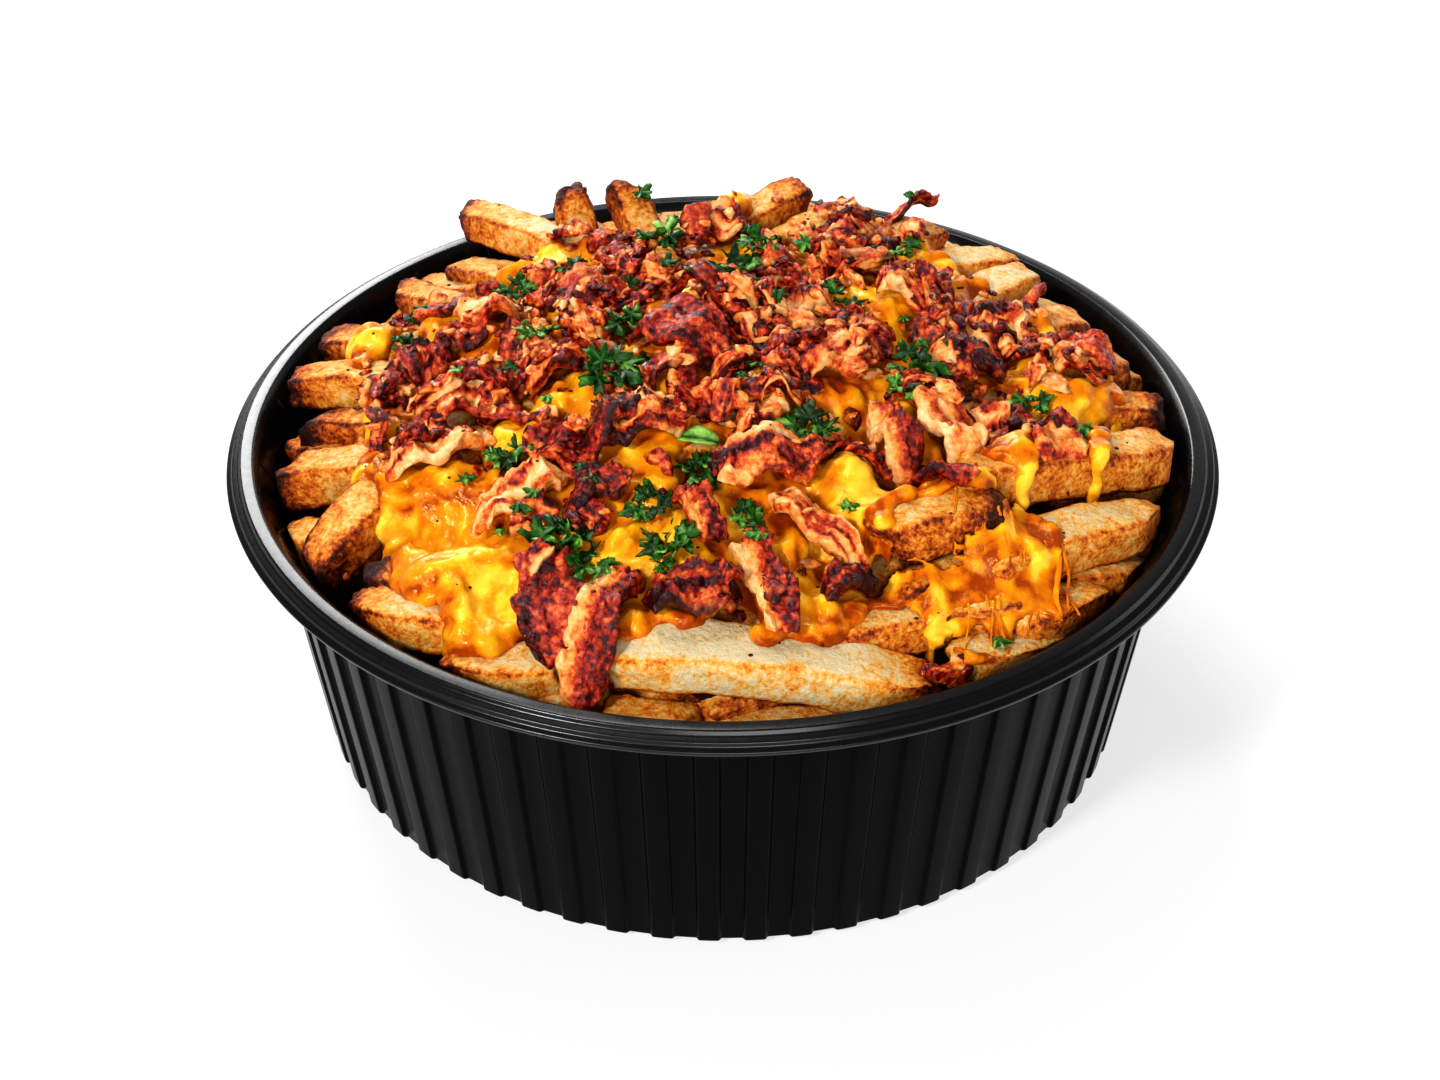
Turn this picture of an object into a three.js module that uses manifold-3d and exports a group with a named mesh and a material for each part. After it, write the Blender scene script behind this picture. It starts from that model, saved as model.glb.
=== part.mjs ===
// Loaded cheese fries in a ribbed black plastic bowl.
// Millimetres, +Z up. The bowl stands on Z = 0 with its centre on the Z axis, and its front is towards -Y.
import * as THREE from 'three';
import { mergeGeometries, mergeVertices } from 'three/addons/utils/BufferGeometryUtils.js';
import Module from 'manifold-3d';

const wasm = await Module();
wasm.setup();

// Driving sizes of the bowl
const HEIGHT = 59.4;
const FLANGE_RADIUS = 92.5;
const FLANGE_LIP_RADIUS = 92.1;
const FLANGE_DROP = 3.5;
const FLANGE_UNDER = HEIGHT - FLANGE_DROP;
const BAND_RADIUS = 91.4;
const BEAD_RADIUS = 90.1;
const BEAD_TOP_RADIUS = 89.7;
const MOUTH_RADIUS = 87.4;
const THROAT_RADIUS = 86.4;
const WALL_TOP_RADIUS = 85;
const WALL_FOOT_RADIUS = 78;
const WALL = 1.1;
const INSIDE_TOP = 54;
const INSIDE_CORNER = 6;
const CORNER_WIDTH = 3.2;
const FLOOR_TOP = 2.4;
const KICK_UP = 1.2;
const FOOT_RADIUS = 76;
const FOOT_INNER_RADIUS = 60;
const RIB_COUNT = 60;
const RIB_DEPTH = 0.7;
const RIB_SHARE = 0.5;
const RIB_CREST = 0.8;
const RIB_FOOT = 1.4;

// Driving sizes of the food
const CLEARANCE = 0.5;
const GAP = 0.3;
const FOOD_FLOOR = FLOOR_TOP + CLEARANCE;
const FOOD_CEILING = 110;
const HEAP_RADIUS = 72;
const HEAP_RINGS = [HEAP_RADIUS, 62, 51, 39, 26, 13, 0];
const CROWN = 22;
const CROWN_FALL = 30;
const FALL_RADIUS = 84;
const CHEESE_THICKNESS = 3.6;
const CHEESE_THINNING = 0.35;
const CHEESE_SINK = 1;
const BACON_THICKNESS = 2.4;
const BACON_WAVE = 0.5;
const LEAF_THICKNESS = 0.8;
const LEAF_WAVE = 0.7;
const ROUND_STEPS = 36;
const CUTTER_RISE = 60;
const SLOPE_ALLOWANCE = 1.8;

const PLASTIC = new THREE.MeshStandardMaterial({ color: '#1c1e20', roughness: 0.38, metalness: 0 });
const POTATO = new THREE.MeshStandardMaterial({ color: '#e8a94c', roughness: 0.62, metalness: 0 });
const CHEESE = new THREE.MeshStandardMaterial({ color: '#f7b21c', roughness: 0.22, metalness: 0 });
const BACON = new THREE.MeshStandardMaterial({ color: '#9a4028', roughness: 0.42, metalness: 0 });
const PARSLEY = new THREE.MeshStandardMaterial({ color: '#3c6b26', roughness: 0.55, metalness: 0 });

// Solids and meshes

function solid(geometry) {
  const bare = geometry.clone();
  bare.deleteAttribute('normal');
  bare.deleteAttribute('uv');
  const merged = mergeVertices(bare, 1e-3);
  const index = merged.index.array;
  const kept = [];
  for (let i = 0; i < index.length; i += 3) {
    const [a, b, c] = [index[i], index[i + 1], index[i + 2]];
    if (a !== b && b !== c && c !== a) kept.push(a, b, c);
  }
  const vertProperties = Float32Array.from(merged.attributes.position.array);
  return new wasm.Manifold(new wasm.Mesh({ numProp: 3, vertProperties, triVerts: Uint32Array.from(kept) }));
}

function largest(body) {
  return body.decompose().reduce((best, piece) => (piece.volume() > best.volume() ? piece : best));
}

function mesh(name, body, material) {
  const { vertProperties, triVerts } = body.getMesh();
  const geometry = new THREE.BufferGeometry();
  geometry.setAttribute('position', new THREE.BufferAttribute(vertProperties, 3));
  geometry.setIndex(new THREE.BufferAttribute(triVerts, 1));
  geometry.computeVertexNormals();
  const piece = new THREE.Mesh(geometry, material);
  piece.name = name;
  return piece;
}

// Moves every vertex of a geometry to where place(x, y, z) says.
function reshape(geometry, place) {
  const position = geometry.attributes.position;
  for (let i = 0; i < position.count; i += 1) {
    const moved = place(position.getX(i), position.getY(i), position.getZ(i));
    position.setXYZ(i, moved.x, moved.y, moved.z);
  }
  return geometry;
}

function turned(profile, steps) {
  const points = profile.map(([radius, height]) => new THREE.Vector2(radius, height));
  return new THREE.LatheGeometry(points, steps).rotateX(Math.PI / 2);
}

// The bowl: one moulded wall with a stepped rim and shallow upright ribs

function outerRadius(z) {
  return THREE.MathUtils.lerp(WALL_FOOT_RADIUS, WALL_TOP_RADIUS, z / FLANGE_UNDER);
}

function innerRadius(z) {
  return outerRadius(z) - WALL;
}

// From the flange's lip over the rim, down the inside, and back under the floor to the foot
function bowlProfile() {
  return [
    [FLANGE_LIP_RADIUS, FLANGE_UNDER], [FLANGE_RADIUS, FLANGE_UNDER + 1], [BAND_RADIUS, FLANGE_UNDER + 1.5],
    [BAND_RADIUS, FLANGE_UNDER + 2.3], [BEAD_RADIUS, FLANGE_UNDER + 2.6], [BEAD_TOP_RADIUS, HEIGHT],
    [MOUTH_RADIUS, HEIGHT], [THROAT_RADIUS, HEIGHT - 1], [innerRadius(INSIDE_TOP), INSIDE_TOP],
    [innerRadius(INSIDE_CORNER), INSIDE_CORNER], [innerRadius(INSIDE_CORNER) - CORNER_WIDTH, FLOOR_TOP],
    [0, FLOOR_TOP], [0, KICK_UP], [FOOT_INNER_RADIUS - 2, KICK_UP], [FOOT_INNER_RADIUS, 0], [FOOT_RADIUS, 0],
  ];
}

function roundOutline(radius) {
  const turns = Array.from({ length: RIB_COUNT }, (_, i) => (2 * Math.PI * i) / RIB_COUNT);
  return turns.map((turn) => new THREE.Vector2(radius * Math.cos(turn), radius * Math.sin(turn)));
}

// The wall seen from above: each rib is a flat band with sloping sides
function ribbedOutline(radius) {
  const pitch = (2 * Math.PI) / RIB_COUNT;
  const half = (pitch * RIB_SHARE) / 2;
  const corners = [[-half, 0], [-half * RIB_CREST, RIB_DEPTH], [half * RIB_CREST, RIB_DEPTH], [half, 0]];
  const points = [];
  for (let i = 0; i < RIB_COUNT; i += 1) {
    corners.forEach(([offset, depth]) => {
      const turn = (i + 0.5) * pitch + offset;
      points.push(new THREE.Vector2((radius + depth) * Math.cos(turn), (radius + depth) * Math.sin(turn)));
    });
  }
  return points;
}

// A ring that faces down, with its outer outline at one height and its hole at another
function ringFacingDown(outer, hole, outerZ, holeZ) {
  const shape = new THREE.Shape(outer);
  shape.holes.push(new THREE.Path(hole));
  const reach = Math.max(...hole.map((point) => point.length())) + 0.01;
  const ring = new THREE.ShapeGeometry(shape);
  reshape(ring, (x, y) => new THREE.Vector3(x, y, Math.hypot(x, y) > reach ? outerZ : holeZ));
  const index = ring.index.array;
  for (let i = 0; i < index.length; i += 3) [index[i], index[i + 1]] = [index[i + 1], index[i]];
  return ring.toNonIndexed();
}

function ribbedWall(low, high) {
  const corners = [];
  low.forEach((point, i) => {
    const next = (i + 1) % low.length;
    const a = [point.x, point.y, RIB_FOOT];
    const b = [low[next].x, low[next].y, RIB_FOOT];
    const c = [high[next].x, high[next].y, FLANGE_UNDER];
    const d = [high[i].x, high[i].y, FLANGE_UNDER];
    corners.push(...a, ...b, ...c, ...a, ...c, ...d);
  });
  const wall = new THREE.BufferGeometry();
  wall.setAttribute('position', new THREE.Float32BufferAttribute(corners, 3));
  return wall;
}

function bowl() {
  const low = ribbedOutline(outerRadius(RIB_FOOT));
  const high = ribbedOutline(outerRadius(FLANGE_UNDER));
  const skins = [
    turned(bowlProfile(), RIB_COUNT).toNonIndexed(),
    ringFacingDown(roundOutline(FLANGE_LIP_RADIUS), high, FLANGE_UNDER, FLANGE_UNDER),
    ringFacingDown(low, roundOutline(FOOT_RADIUS), RIB_FOOT, 0),
    ribbedWall(low, high),
  ];
  skins.forEach((skin) => {
    skin.deleteAttribute('normal');
    skin.deleteAttribute('uv');
  });
  return solid(mergeGeometries(skins));
}

// The room that the food may fill: the inside of the bowl, and the air above its rim
function foodRoom() {
  const side = (z) => innerRadius(z) - CLEARANCE;
  return solid(turned([
    [0, FOOD_FLOOR], [side(INSIDE_CORNER) - CORNER_WIDTH, FOOD_FLOOR], [side(INSIDE_CORNER), INSIDE_CORNER],
    [side(INSIDE_TOP), INSIDE_TOP - CLEARANCE], [THROAT_RADIUS - CLEARANCE, HEIGHT - CLEARANCE],
    [MOUTH_RADIUS - CLEARANCE, HEIGHT + CLEARANCE], [BEAD_RADIUS, HEIGHT + CLEARANCE],
    [BEAD_RADIUS, FOOD_CEILING], [0, FOOD_CEILING],
  ], RIB_COUNT));
}

// The heap's own body, an uneven mound that packs the bowl

function mound(x, y) {
  const fall = (x * x + y * y) / (FALL_RADIUS * FALL_RADIUS);
  const uneven = 1.1 * Math.sin(x / 9 + 0.8) * Math.cos(y / 8) + 0.8 * Math.sin((x + y) / 6);
  return CROWN - CROWN_FALL * fall + uneven * (1 - fall);
}

// Its side follows the bowl's wall a little inside it, and draws in towards the rim
const CORE_SIDE = [[0, FOOD_FLOOR], [72, FOOD_FLOOR], [76, 7], [79, 44], [76.5, 52]];

function core(grow = 0) {
  const rings = HEAP_RINGS.map((radius) => [radius, HEIGHT]);
  const widen = 1 + grow / HEAP_RADIUS;
  return solid(reshape(turned([...CORE_SIDE, ...rings], ROUND_STEPS), (x, y, z) => {
    const top = z > HEIGHT - GAP ? mound(x, y) + grow : 0;
    return new THREE.Vector3(x * widen, y * widen, z + top);
  }));
}

// The fries that show: outer tip, inner end, width, height, and how far the middle bows upwards
const FRIES = [
  // back, from left to right
  [[-53, 61, 69], [-30, 38, 72], 9, 8.5, 1],
  [[-31, 61, 76.5], [-27, 50, 63], 8.5, 8, 0],
  [[-21, 61, 76], [-14, 46, 66], 8.5, 8, 0],
  [[-39, 49, 69], [-22, 40, 70], 8, 8, 1],
  [[17, 60, 76], [-4, 43, 71], 8.5, 8, 1],
  [[30, 56, 72], [12, 44, 71], 8.5, 8, 1],
  [[43, 50, 70], [28, 36, 70], 10, 10, 0],
  [[60, 51, 63.5], [38, 38, 67], 9, 8, 1],
  [[62, 43, 64], [42, 22, 67], 10, 9.5, 1],
  [[71, 27, 62], [50, 16, 67], 10.5, 9, 1],
  [[77, 13, 61.5], [56, 4, 66], 10, 9, 0],
  [[83, 1, 60], [62, -5, 64], 8, 7, 0],
  // right
  [[83, -14, 61], [42, -36, 70], 10, 9, 1],
  [[80, -30, 58], [44, -54, 63], 10, 8.5, 1],
  [[79, -27, 50], [58, -42, 55], 9, 8, 0],
  [[77, -38, 50], [58, -46, 56], 9, 8, 0],
  [[68, -49, 52.5], [46, -60, 56], 10, 9, 1],
  [[58, -61, 51], [38, -69, 55], 9, 8, 0],
  [[81, -8, 52], [64, -22, 56], 9, 8, 0],
  // front
  [[-20, -71, 60], [35, -74, 53.5], 12, 8, 2],
  [[22, -68, 57.5], [2, -62, 59], 8, 7, 0],
  [[48, -44, 68], [26, -51, 69], 9.5, 8.5, 1],
  [[57, -54, 57], [20, -66, 58], 8.5, 8, 1],
  [[56, -43, 61], [30, -58, 61], 8, 7.5, 1],
  [[-47, -67, 53], [-24, -70, 56], 9.5, 8, 0],
  [[-64, -53, 53.5], [-42, -60, 57], 9.5, 8.5, 1],
  [[-72, -41, 52.5], [-58, -24, 61.5], 9.5, 8.5, 1],
  [[-61, -46, 56], [-46, -52, 57.5], 8.5, 8, 0],
  [[-21, -77, 51], [-4, -79.5, 50.5], 8.5, 8, 0],
  [[-5, -79.5, 48.5], [20, -78, 49], 8, 8, 0],
  [[-38, -72, 48], [-18, -73, 51], 9, 8, 0],
  // left
  [[-82, -13, 53], [-58, -21, 61.5], 9.5, 9, 1],
  [[-78, -1, 57], [-56, -11, 63.5], 7.5, 7.5, 0],
  [[-83, 12, 58.5], [-56, 2, 64.5], 9, 8, 1],
  [[-78, 27, 58.5], [-56, 12, 64.5], 9.5, 8.5, 1],
  [[-65, 43, 61], [-50, 28, 65.5], 8.5, 8, 0],
  [[-69, 25, 61], [-50, 14, 65.5], 7.5, 7, 0],
  [[-54, 50, 62], [-38, 34, 67], 8.5, 8, 0],
  [[-80, -26, 50], [-66, -36, 54], 9, 8, 0],
  [[-81, 4, 50], [-68, -8, 55], 8.5, 8, 0],
  // behind the heap
  [[-41, 68, 59], [-22, 52, 66], 9, 8.5, 1],
  [[-12, 79, 57], [-8, 52, 66], 9.5, 8.5, 1],
  [[6, 80, 56], [20, 52, 67], 9, 8.5, 1],
  [[33, 73, 58], [16, 54, 66], 9, 8, 0],
  [[52, 61, 57], [34, 48, 66], 9.5, 9, 1],
  [[-62, 52, 56], [-42, 38, 64], 9, 8, 0],
  [[-4, 66, 67], [22, 67, 64], 9, 8, 1],
  [[70, 44, 54], [52, 30, 61], 9.5, 9, 0],
  [[81, 20, 54], [64, 12, 60], 8.5, 8, 0],
  [[-80, 22, 51], [-62, 38, 56], 8.5, 8, 0],
  [[-32, 76, 53], [-4, 74, 56], 9, 8, 1],
  [[14, 79, 50], [42, 70, 53], 9, 8, 0],
  [[-72, 42, 49], [-50, 60, 53], 9, 8, 0],
];
const FRY_SIDES = 8;
const FRY_CHAMFER = 0.28;
const STRAIGHT_STATIONS = [0, 0.08, 0.92, 1];
const BOWED_STATIONS = [0, 0.08, 0.5, 0.92, 1];
const FRY_BLUNT = 0.74;

// A cut potato stick: a chamfered section that narrows at its two blunt ends
function fry([tip, inner, width, height, bow]) {
  const start = new THREE.Vector3(...tip);
  const along = new THREE.Vector3(...inner).sub(start);
  const side = new THREE.Vector3(0, 0, 1).cross(along).normalize();
  const up = along.clone().cross(side).normalize();
  const corner = 1 - FRY_CHAMFER;
  const stations = bow > 0 ? BOWED_STATIONS : STRAIGHT_STATIONS;
  const steps = stations.length - 1;
  const stick = new THREE.CylinderGeometry(1, 1, steps, FRY_SIDES, steps);
  stick.rotateY(Math.PI / FRY_SIDES);
  return solid(reshape(stick, (x, y, z) => {
    const share = stations[Math.round(y + steps / 2)];
    const wide = Math.abs(x) > Math.abs(z);
    const onAxis = Math.hypot(x, z) < 0.5;
    const blunt = share === 0 || share === 1 ? FRY_BLUNT : 1;
    const across = onAxis ? 0 : (Math.sign(x) * (wide ? 1 : corner) * blunt * width) / 2;
    const over = onAxis ? 0 : (-Math.sign(z) * (wide ? corner : 1) * blunt * height) / 2;
    const bend = bow * 4 * share * (1 - share);
    return start.clone().addScaledVector(along, share).addScaledVector(side, across)
      .addScaledVector(up, over + bend);
  }));
}

// The cheese: a blanket over the heap, as far out as each of these radii at every 20 degrees from +X
const CHEESE_REACH = [72, 66, 55, 56, 52, 50, 48, 58, 67, 66, 68, 70, 76, 74, 72, 66, 58, 66];
const CHEESE_LOBES = 9;
const CHEESE_LOBE_DEPTH = 1.8;
const CHEESE_EDGE = [
  [0, 0], [0.35, 0], [0.7, 0], [1, 0], [1, 0.6], [0.93, 1], [0.7, 1], [0.45, 1], [0.2, 1], [0, 1],
];

function cheeseReach(x, y) {
  const turn = Math.atan2(y, x);
  const count = CHEESE_REACH.length;
  const place = ((turn / (2 * Math.PI)) * count + count) % count;
  const lower = Math.floor(place) % count;
  const share = THREE.MathUtils.smoothstep(place - Math.floor(place), 0, 1);
  const reach = THREE.MathUtils.lerp(CHEESE_REACH[lower], CHEESE_REACH[(lower + 1) % count], share);
  return reach + CHEESE_LOBE_DEPTH * Math.sin(turn * CHEESE_LOBES);
}

function cheeseTop(x, y) {
  const thinner = CHEESE_THINNING * Math.min(1, Math.hypot(x, y) / HEAP_RADIUS);
  return HEIGHT + mound(x, y) + CHEESE_THICKNESS * (1 - thinner);
}

function cheeseBlanket(grow, rise) {
  return solid(reshape(turned(CHEESE_EDGE, ROUND_STEPS), (x, y, level) => {
    const reach = Math.hypot(x, y) > 0 ? cheeseReach(x, y) + grow : 0;
    const [px, py] = [x * reach, y * reach];
    const under = HEIGHT + mound(px, py) - CHEESE_SINK - grow;
    const over = cheeseTop(px, py) + grow;
    const lift = level > 0.5 ? rise : 0;
    return new THREE.Vector3(px, py, THREE.MathUtils.lerp(under, over, level) + lift);
  }));
}

// Bacon pieces: centre x and y, turn in degrees, length, width, how far the middle arches up, and how far
// the whole piece is raised by the fries under it
const BACON_PIECES = [
  [-29, -67, -86, 24, 12, 2.5, 0],
  [-17.5, -68, -96, 23, 9, 2.5, 0],
  [-4, -66, 4, 15, 12, 2, 0],
  [8, -63, -66, 21, 8, 1.5, 0],
  [21, -61, 30, 12, 8, 1.5, 0],
  [-8, -8, -38, 21, 13, 4.5, 0],
  [-27, 14, 22, 15, 11, 2.5, 0],
  [-48, -12, 14, 18, 12, 2.5, 0],
  [-56, 2, 4, 12, 9, 1.5, 0],
  [-44, 12, 10, 13, 11, 2, 0],
  [53, -21, -38, 18, 11, 2, 0],
  [40, -25, -66, 19, 11, 2, 0],
  [68, 6, -21, 14, 8, 1.5, 1],
  [51, 11, 40, 14, 10, 2, 0],
  [35, 14, 15, 14, 9, 1.5, 0],
  [45, -4, 22, 15, 9, 2, 0],
  [37, -42, -6, 13, 6, 1, 0],
  [20, -50, -34, 19, 9, 2, 0],
  [7, -40, 14, 19, 11, 2, 0],
  [-21, -45, 12, 12, 8, 1.5, 0],
  [-35, -40, 24, 18, 9, 1.5, 0],
  [39, 53, -30, 13, 5, 1, 8],
  [37, -73.5, 28, 9, 6, 1, 0],
  [-50, -27, 16, 20, 8, 1.5, 0],
  [-14, -32, 15, 18, 10, 2, 0],
  [4, -27, -16, 15, 9, 1.5, 0],
  [20, -13, 34, 17, 10, 2, 0],
  [-29, -11, -10, 13, 10, 2, 0],
  [-1, 43, 12, 15, 9, 2, 0],
  [20, 34, 38, 16, 9, 2, 0],
  [26, -30, -62, 14, 9, 1.5, 0],
  [-4, -52, -58, 12, 7, 1.5, 0],
  [13, 4, 24, 14, 9, 1.5, 0],
];
const BACON_STEPS = 4;

// A fried strip: bent over what lies under it, with its middle arched and its edges wavy
function baconPiece([cx, cy, degrees, length, width, arch, lift], order, grow = 0, rise = 0) {
  const turn = THREE.MathUtils.degToRad(degrees);
  const [cos, sin] = [Math.cos(turn), Math.sin(turn)];
  const spread = grow * SLOPE_ALLOWANCE;
  const slab = new THREE.BoxGeometry(length + 2 * grow, width + 2 * grow, 1, BACON_STEPS, 2, 1);
  return solid(reshape(slab, (s, w, level) => {
    const share = (2 * s) / (length + 2 * grow);
    const waist = 1 - 0.14 * Math.sin(share * 4 + order);
    const aside = (w * waist * width) / (width + 2 * grow);
    const ahead = (share * length) / 2;
    const bed = cheeseTop(cx + ahead * cos - aside * sin, cy + ahead * sin + aside * cos) + lift;
    const curl = arch * (1 - share * share) + BACON_WAVE * (1 + Math.sin(share * 5 + order * 2));
    const under = bed + 2 * GAP + curl - spread;
    const thick = BACON_THICKNESS * (1 - (0.25 * Math.abs(w)) / width) + 2 * spread + rise;
    const z = level > 0 ? under + thick : under;
    return new THREE.Vector3(cx + s * cos - w * waist * sin, cy + s * sin + w * waist * cos, z);
  }));
}

// How far the top of the bacon stands above the cheese at a point, or 0 where no bacon covers it
function baconAbove(x, y) {
  const heights = BACON_PIECES.map(([cx, cy, degrees, length, width, arch, lift]) => {
    const turn = THREE.MathUtils.degToRad(degrees);
    const ahead = (x - cx) * Math.cos(turn) + (y - cy) * Math.sin(turn);
    const aside = (y - cy) * Math.cos(turn) - (x - cx) * Math.sin(turn);
    const covered = Math.abs(ahead) < length / 2 + 1 && Math.abs(aside) < width / 2 + 1;
    const share = (2 * ahead) / length;
    const curl = arch * Math.max(0, 1 - share * share) + 2 * BACON_WAVE;
    return covered ? lift + 2 * GAP + curl + BACON_THICKNESS : 0;
  });
  return Math.max(...heights);
}

// Parsley leaves: centre x and y, width across, and turn in degrees
const LEAVES = [
  [-12, 30, 12, 20], [7, 26, 10, 80], [2, 14, 12, 140], [-40, 23, 9, 10], [22, 9, 9, 200],
  [33, 26, 9, 60], [-19, -20, 13, 30], [-34, -1, 9, 100], [-18, 3, 10, 250], [-60, 12, 8, 0],
  [34, -13, 11, 170], [32, -20, 8, 40], [57, -9, 8, 300], [15, -32, 12, 220], [-4, -40, 11, 350],
  [-38, -30, 10, 120], [-27, -52, 13, 15], [-12, -48, 11, 190], [-22, -58, 11, 75], [-9, -57, 12, 260],
  [4, -51, 8, 130],
];
const LEAF_LOBES = 5;
const LEAF_WAIST = 0.5;
const LEAF_NARROWING = 0.85;

function leafShape(width) {
  const points = Array.from({ length: LEAF_LOBES * 2 }, (_, i) => {
    const turn = (Math.PI * i) / LEAF_LOBES;
    const radius = (width / 2) * (i % 2 === 0 ? 1 : LEAF_WAIST);
    return new THREE.Vector2(radius * Math.cos(turn), radius * Math.sin(turn) * LEAF_NARROWING);
  });
  return new THREE.Shape(points);
}

// How high a leaf lies above the cheese: over whatever bacon its middle and its edge cover
function leafLift(cx, cy, width) {
  const around = Array.from({ length: 8 }, (_, i) => (Math.PI * i) / 4);
  const spots = around.map((turn) => [0.45 * width * Math.cos(turn), 0.45 * width * Math.sin(turn)]);
  return Math.max(baconAbove(cx, cy), ...spots.map(([dx, dy]) => baconAbove(cx + dx, cy + dy)));
}

function leaf([cx, cy, width, degrees], order, grow = 0, rise = 0) {
  const turn = THREE.MathUtils.degToRad(degrees);
  const lift = leafLift(cx, cy, width);
  const spread = grow * SLOPE_ALLOWANCE;
  const bare = width / (width + 2 * grow);
  const blade = new THREE.ExtrudeGeometry(leafShape(width + 2 * grow), { depth: 1, bevelEnabled: false });
  return solid(reshape(blade, (lx, ly, level) => {
    const x = lx * Math.cos(turn) - ly * Math.sin(turn);
    const y = lx * Math.sin(turn) + ly * Math.cos(turn);
    const ripple = LEAF_WAVE * (1 + Math.sin(lx * bare * 0.9 + order));
    const under = cheeseTop(cx + x * bare, cy + y * bare) + lift + 2 * GAP + ripple - spread;
    const z = level > 0.5 ? under + LEAF_THICKNESS + 2 * spread + rise : under;
    return new THREE.Vector3(cx + x, cy + y, z);
  }));
}

// Bacon crumbs fused to the cheese, clear of the larger pieces
const CRUMB_COUNT = 22;
const CRUMB_FIELD = 64;
const CRUMB_CLEARANCE = 3;

function crumbFits(x, y) {
  const steps = [-CRUMB_CLEARANCE, 0, CRUMB_CLEARANCE];
  const underBacon = steps.some((dx) => steps.some((dy) => baconAbove(x + dx, y + dy) > 0));
  const underLeaf = LEAVES.some(([leafX, leafY, width]) => (
    Math.hypot(x - leafX, y - leafY) < width / 2 + CRUMB_CLEARANCE
  ));
  return !underBacon && !underLeaf && Math.hypot(x, y) < cheeseReach(x, y) - 2 * CRUMB_CLEARANCE;
}

function crumbs() {
  const found = [];
  THREE.MathUtils.seededRandom(41);
  while (found.length < CRUMB_COUNT) {
    const turn = 2 * Math.PI * THREE.MathUtils.seededRandom();
    const radius = CRUMB_FIELD * Math.sqrt(THREE.MathUtils.seededRandom());
    const size = 1.6 + 1.2 * THREE.MathUtils.seededRandom();
    const [x, y] = [radius * Math.cos(turn), radius * Math.sin(turn)];
    if (crumbFits(x, y)) {
      const crumb = new THREE.OctahedronGeometry(size).rotateZ(turn * 7).rotateX(turn * 3);
      found.push(solid(crumb.translate(x, y, cheeseTop(x, y) + 0.35 * size)));
    }
  }
  return found;
}

// Everything put together, from the bowl up

const { union } = wasm.Manifold;
const room = foodRoom();
const baconRoom = BACON_PIECES.map((piece, i) => baconPiece(piece, i, GAP));
const allBaconRoom = union(baconRoom);

function heap() {
  const sticks = FRIES.map((row) => fry(row));
  const coverings = [
    cheeseBlanket(GAP, CUTTER_RISE),
    ...BACON_PIECES.map((piece, i) => baconPiece(piece, i, GAP, CUTTER_RISE)),
    ...LEAVES.map((piece, i) => leaf(piece, i, GAP, CUTTER_RISE)),
  ];
  return largest(union([core(), ...sticks]).intersect(room).subtract(union(coverings)));
}

function cheese() {
  const blanket = union([cheeseBlanket(0, 0), ...crumbs()]);
  return largest(blanket.subtract(core(GAP)).subtract(allBaconRoom).intersect(room));
}

function bacon(piece, order) {
  const body = baconPiece(piece, order).intersect(room);
  return largest(order > 0 ? body.subtract(union(baconRoom.slice(0, order))) : body);
}

const group = new THREE.Group();
const numbered = (name, i) => `${name}_${String(i + 1).padStart(2, '0')}`;
group.add(mesh('bowl', bowl(), PLASTIC));
group.add(mesh('fries', heap(), POTATO));
group.add(mesh('cheese', cheese(), CHEESE));
BACON_PIECES.forEach((piece, i) => {
  group.add(mesh(numbered('bacon', i), bacon(piece, i), BACON));
});
LEAVES.forEach((piece, i) => {
  group.add(mesh(numbered('parsley', i), largest(leaf(piece, i).subtract(allBaconRoom)), PARSLEY));
});

export default group;
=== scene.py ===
import math
import random

import bmesh
import bpy
import numpy as np
from bpy.props import FloatProperty, FloatVectorProperty, IntProperty, PointerProperty
from mathutils import Matrix, Vector, noise
from mathutils.bvhtree import BVHTree


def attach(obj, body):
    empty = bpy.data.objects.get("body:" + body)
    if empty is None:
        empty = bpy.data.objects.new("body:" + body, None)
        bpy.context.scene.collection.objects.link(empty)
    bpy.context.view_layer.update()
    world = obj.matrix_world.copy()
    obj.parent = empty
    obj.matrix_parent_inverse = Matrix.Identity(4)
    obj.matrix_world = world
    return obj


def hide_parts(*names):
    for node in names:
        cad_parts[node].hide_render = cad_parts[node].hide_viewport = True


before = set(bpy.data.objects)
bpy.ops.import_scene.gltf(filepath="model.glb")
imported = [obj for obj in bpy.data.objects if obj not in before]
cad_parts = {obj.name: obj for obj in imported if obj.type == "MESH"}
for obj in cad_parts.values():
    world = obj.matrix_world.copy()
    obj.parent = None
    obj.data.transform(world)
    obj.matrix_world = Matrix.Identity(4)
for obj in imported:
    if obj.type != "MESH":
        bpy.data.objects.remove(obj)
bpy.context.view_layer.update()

bl_info = {
    "name": "Cheese Fries Bowl",
    "version": (1, 0, 0),
    "blender": (4, 5, 0),
    "location": "View3D > Sidebar > Food",
    "description": "Builds a bowl of fries with melted cheese, bacon and parsley",
    "category": "Add Mesh",
}

# Every size below is in millimetres, and a finished mesh is scaled to metres.
MM = 0.001

# The bowl, from its rim down to its foot
RIM_HEIGHT = 59.4
UNDER_FLANGE = 55.9
WALL_FOOT_RADIUS = 78.0
WALL_TOP_RADIUS = 85.0
WALL = 1.1
INSIDE_TOP = 54.0
INSIDE_CORNER = 6.0
FOOT_HEIGHT = 1.4

# The mound of fries: its height over the rim, its fall towards the wall, and its unevenness
CROWN = 22.0
CROWN_FALL = 30.0
FALL_RADIUS = 84.0
CORE_DEPTH = 9.0

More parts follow.
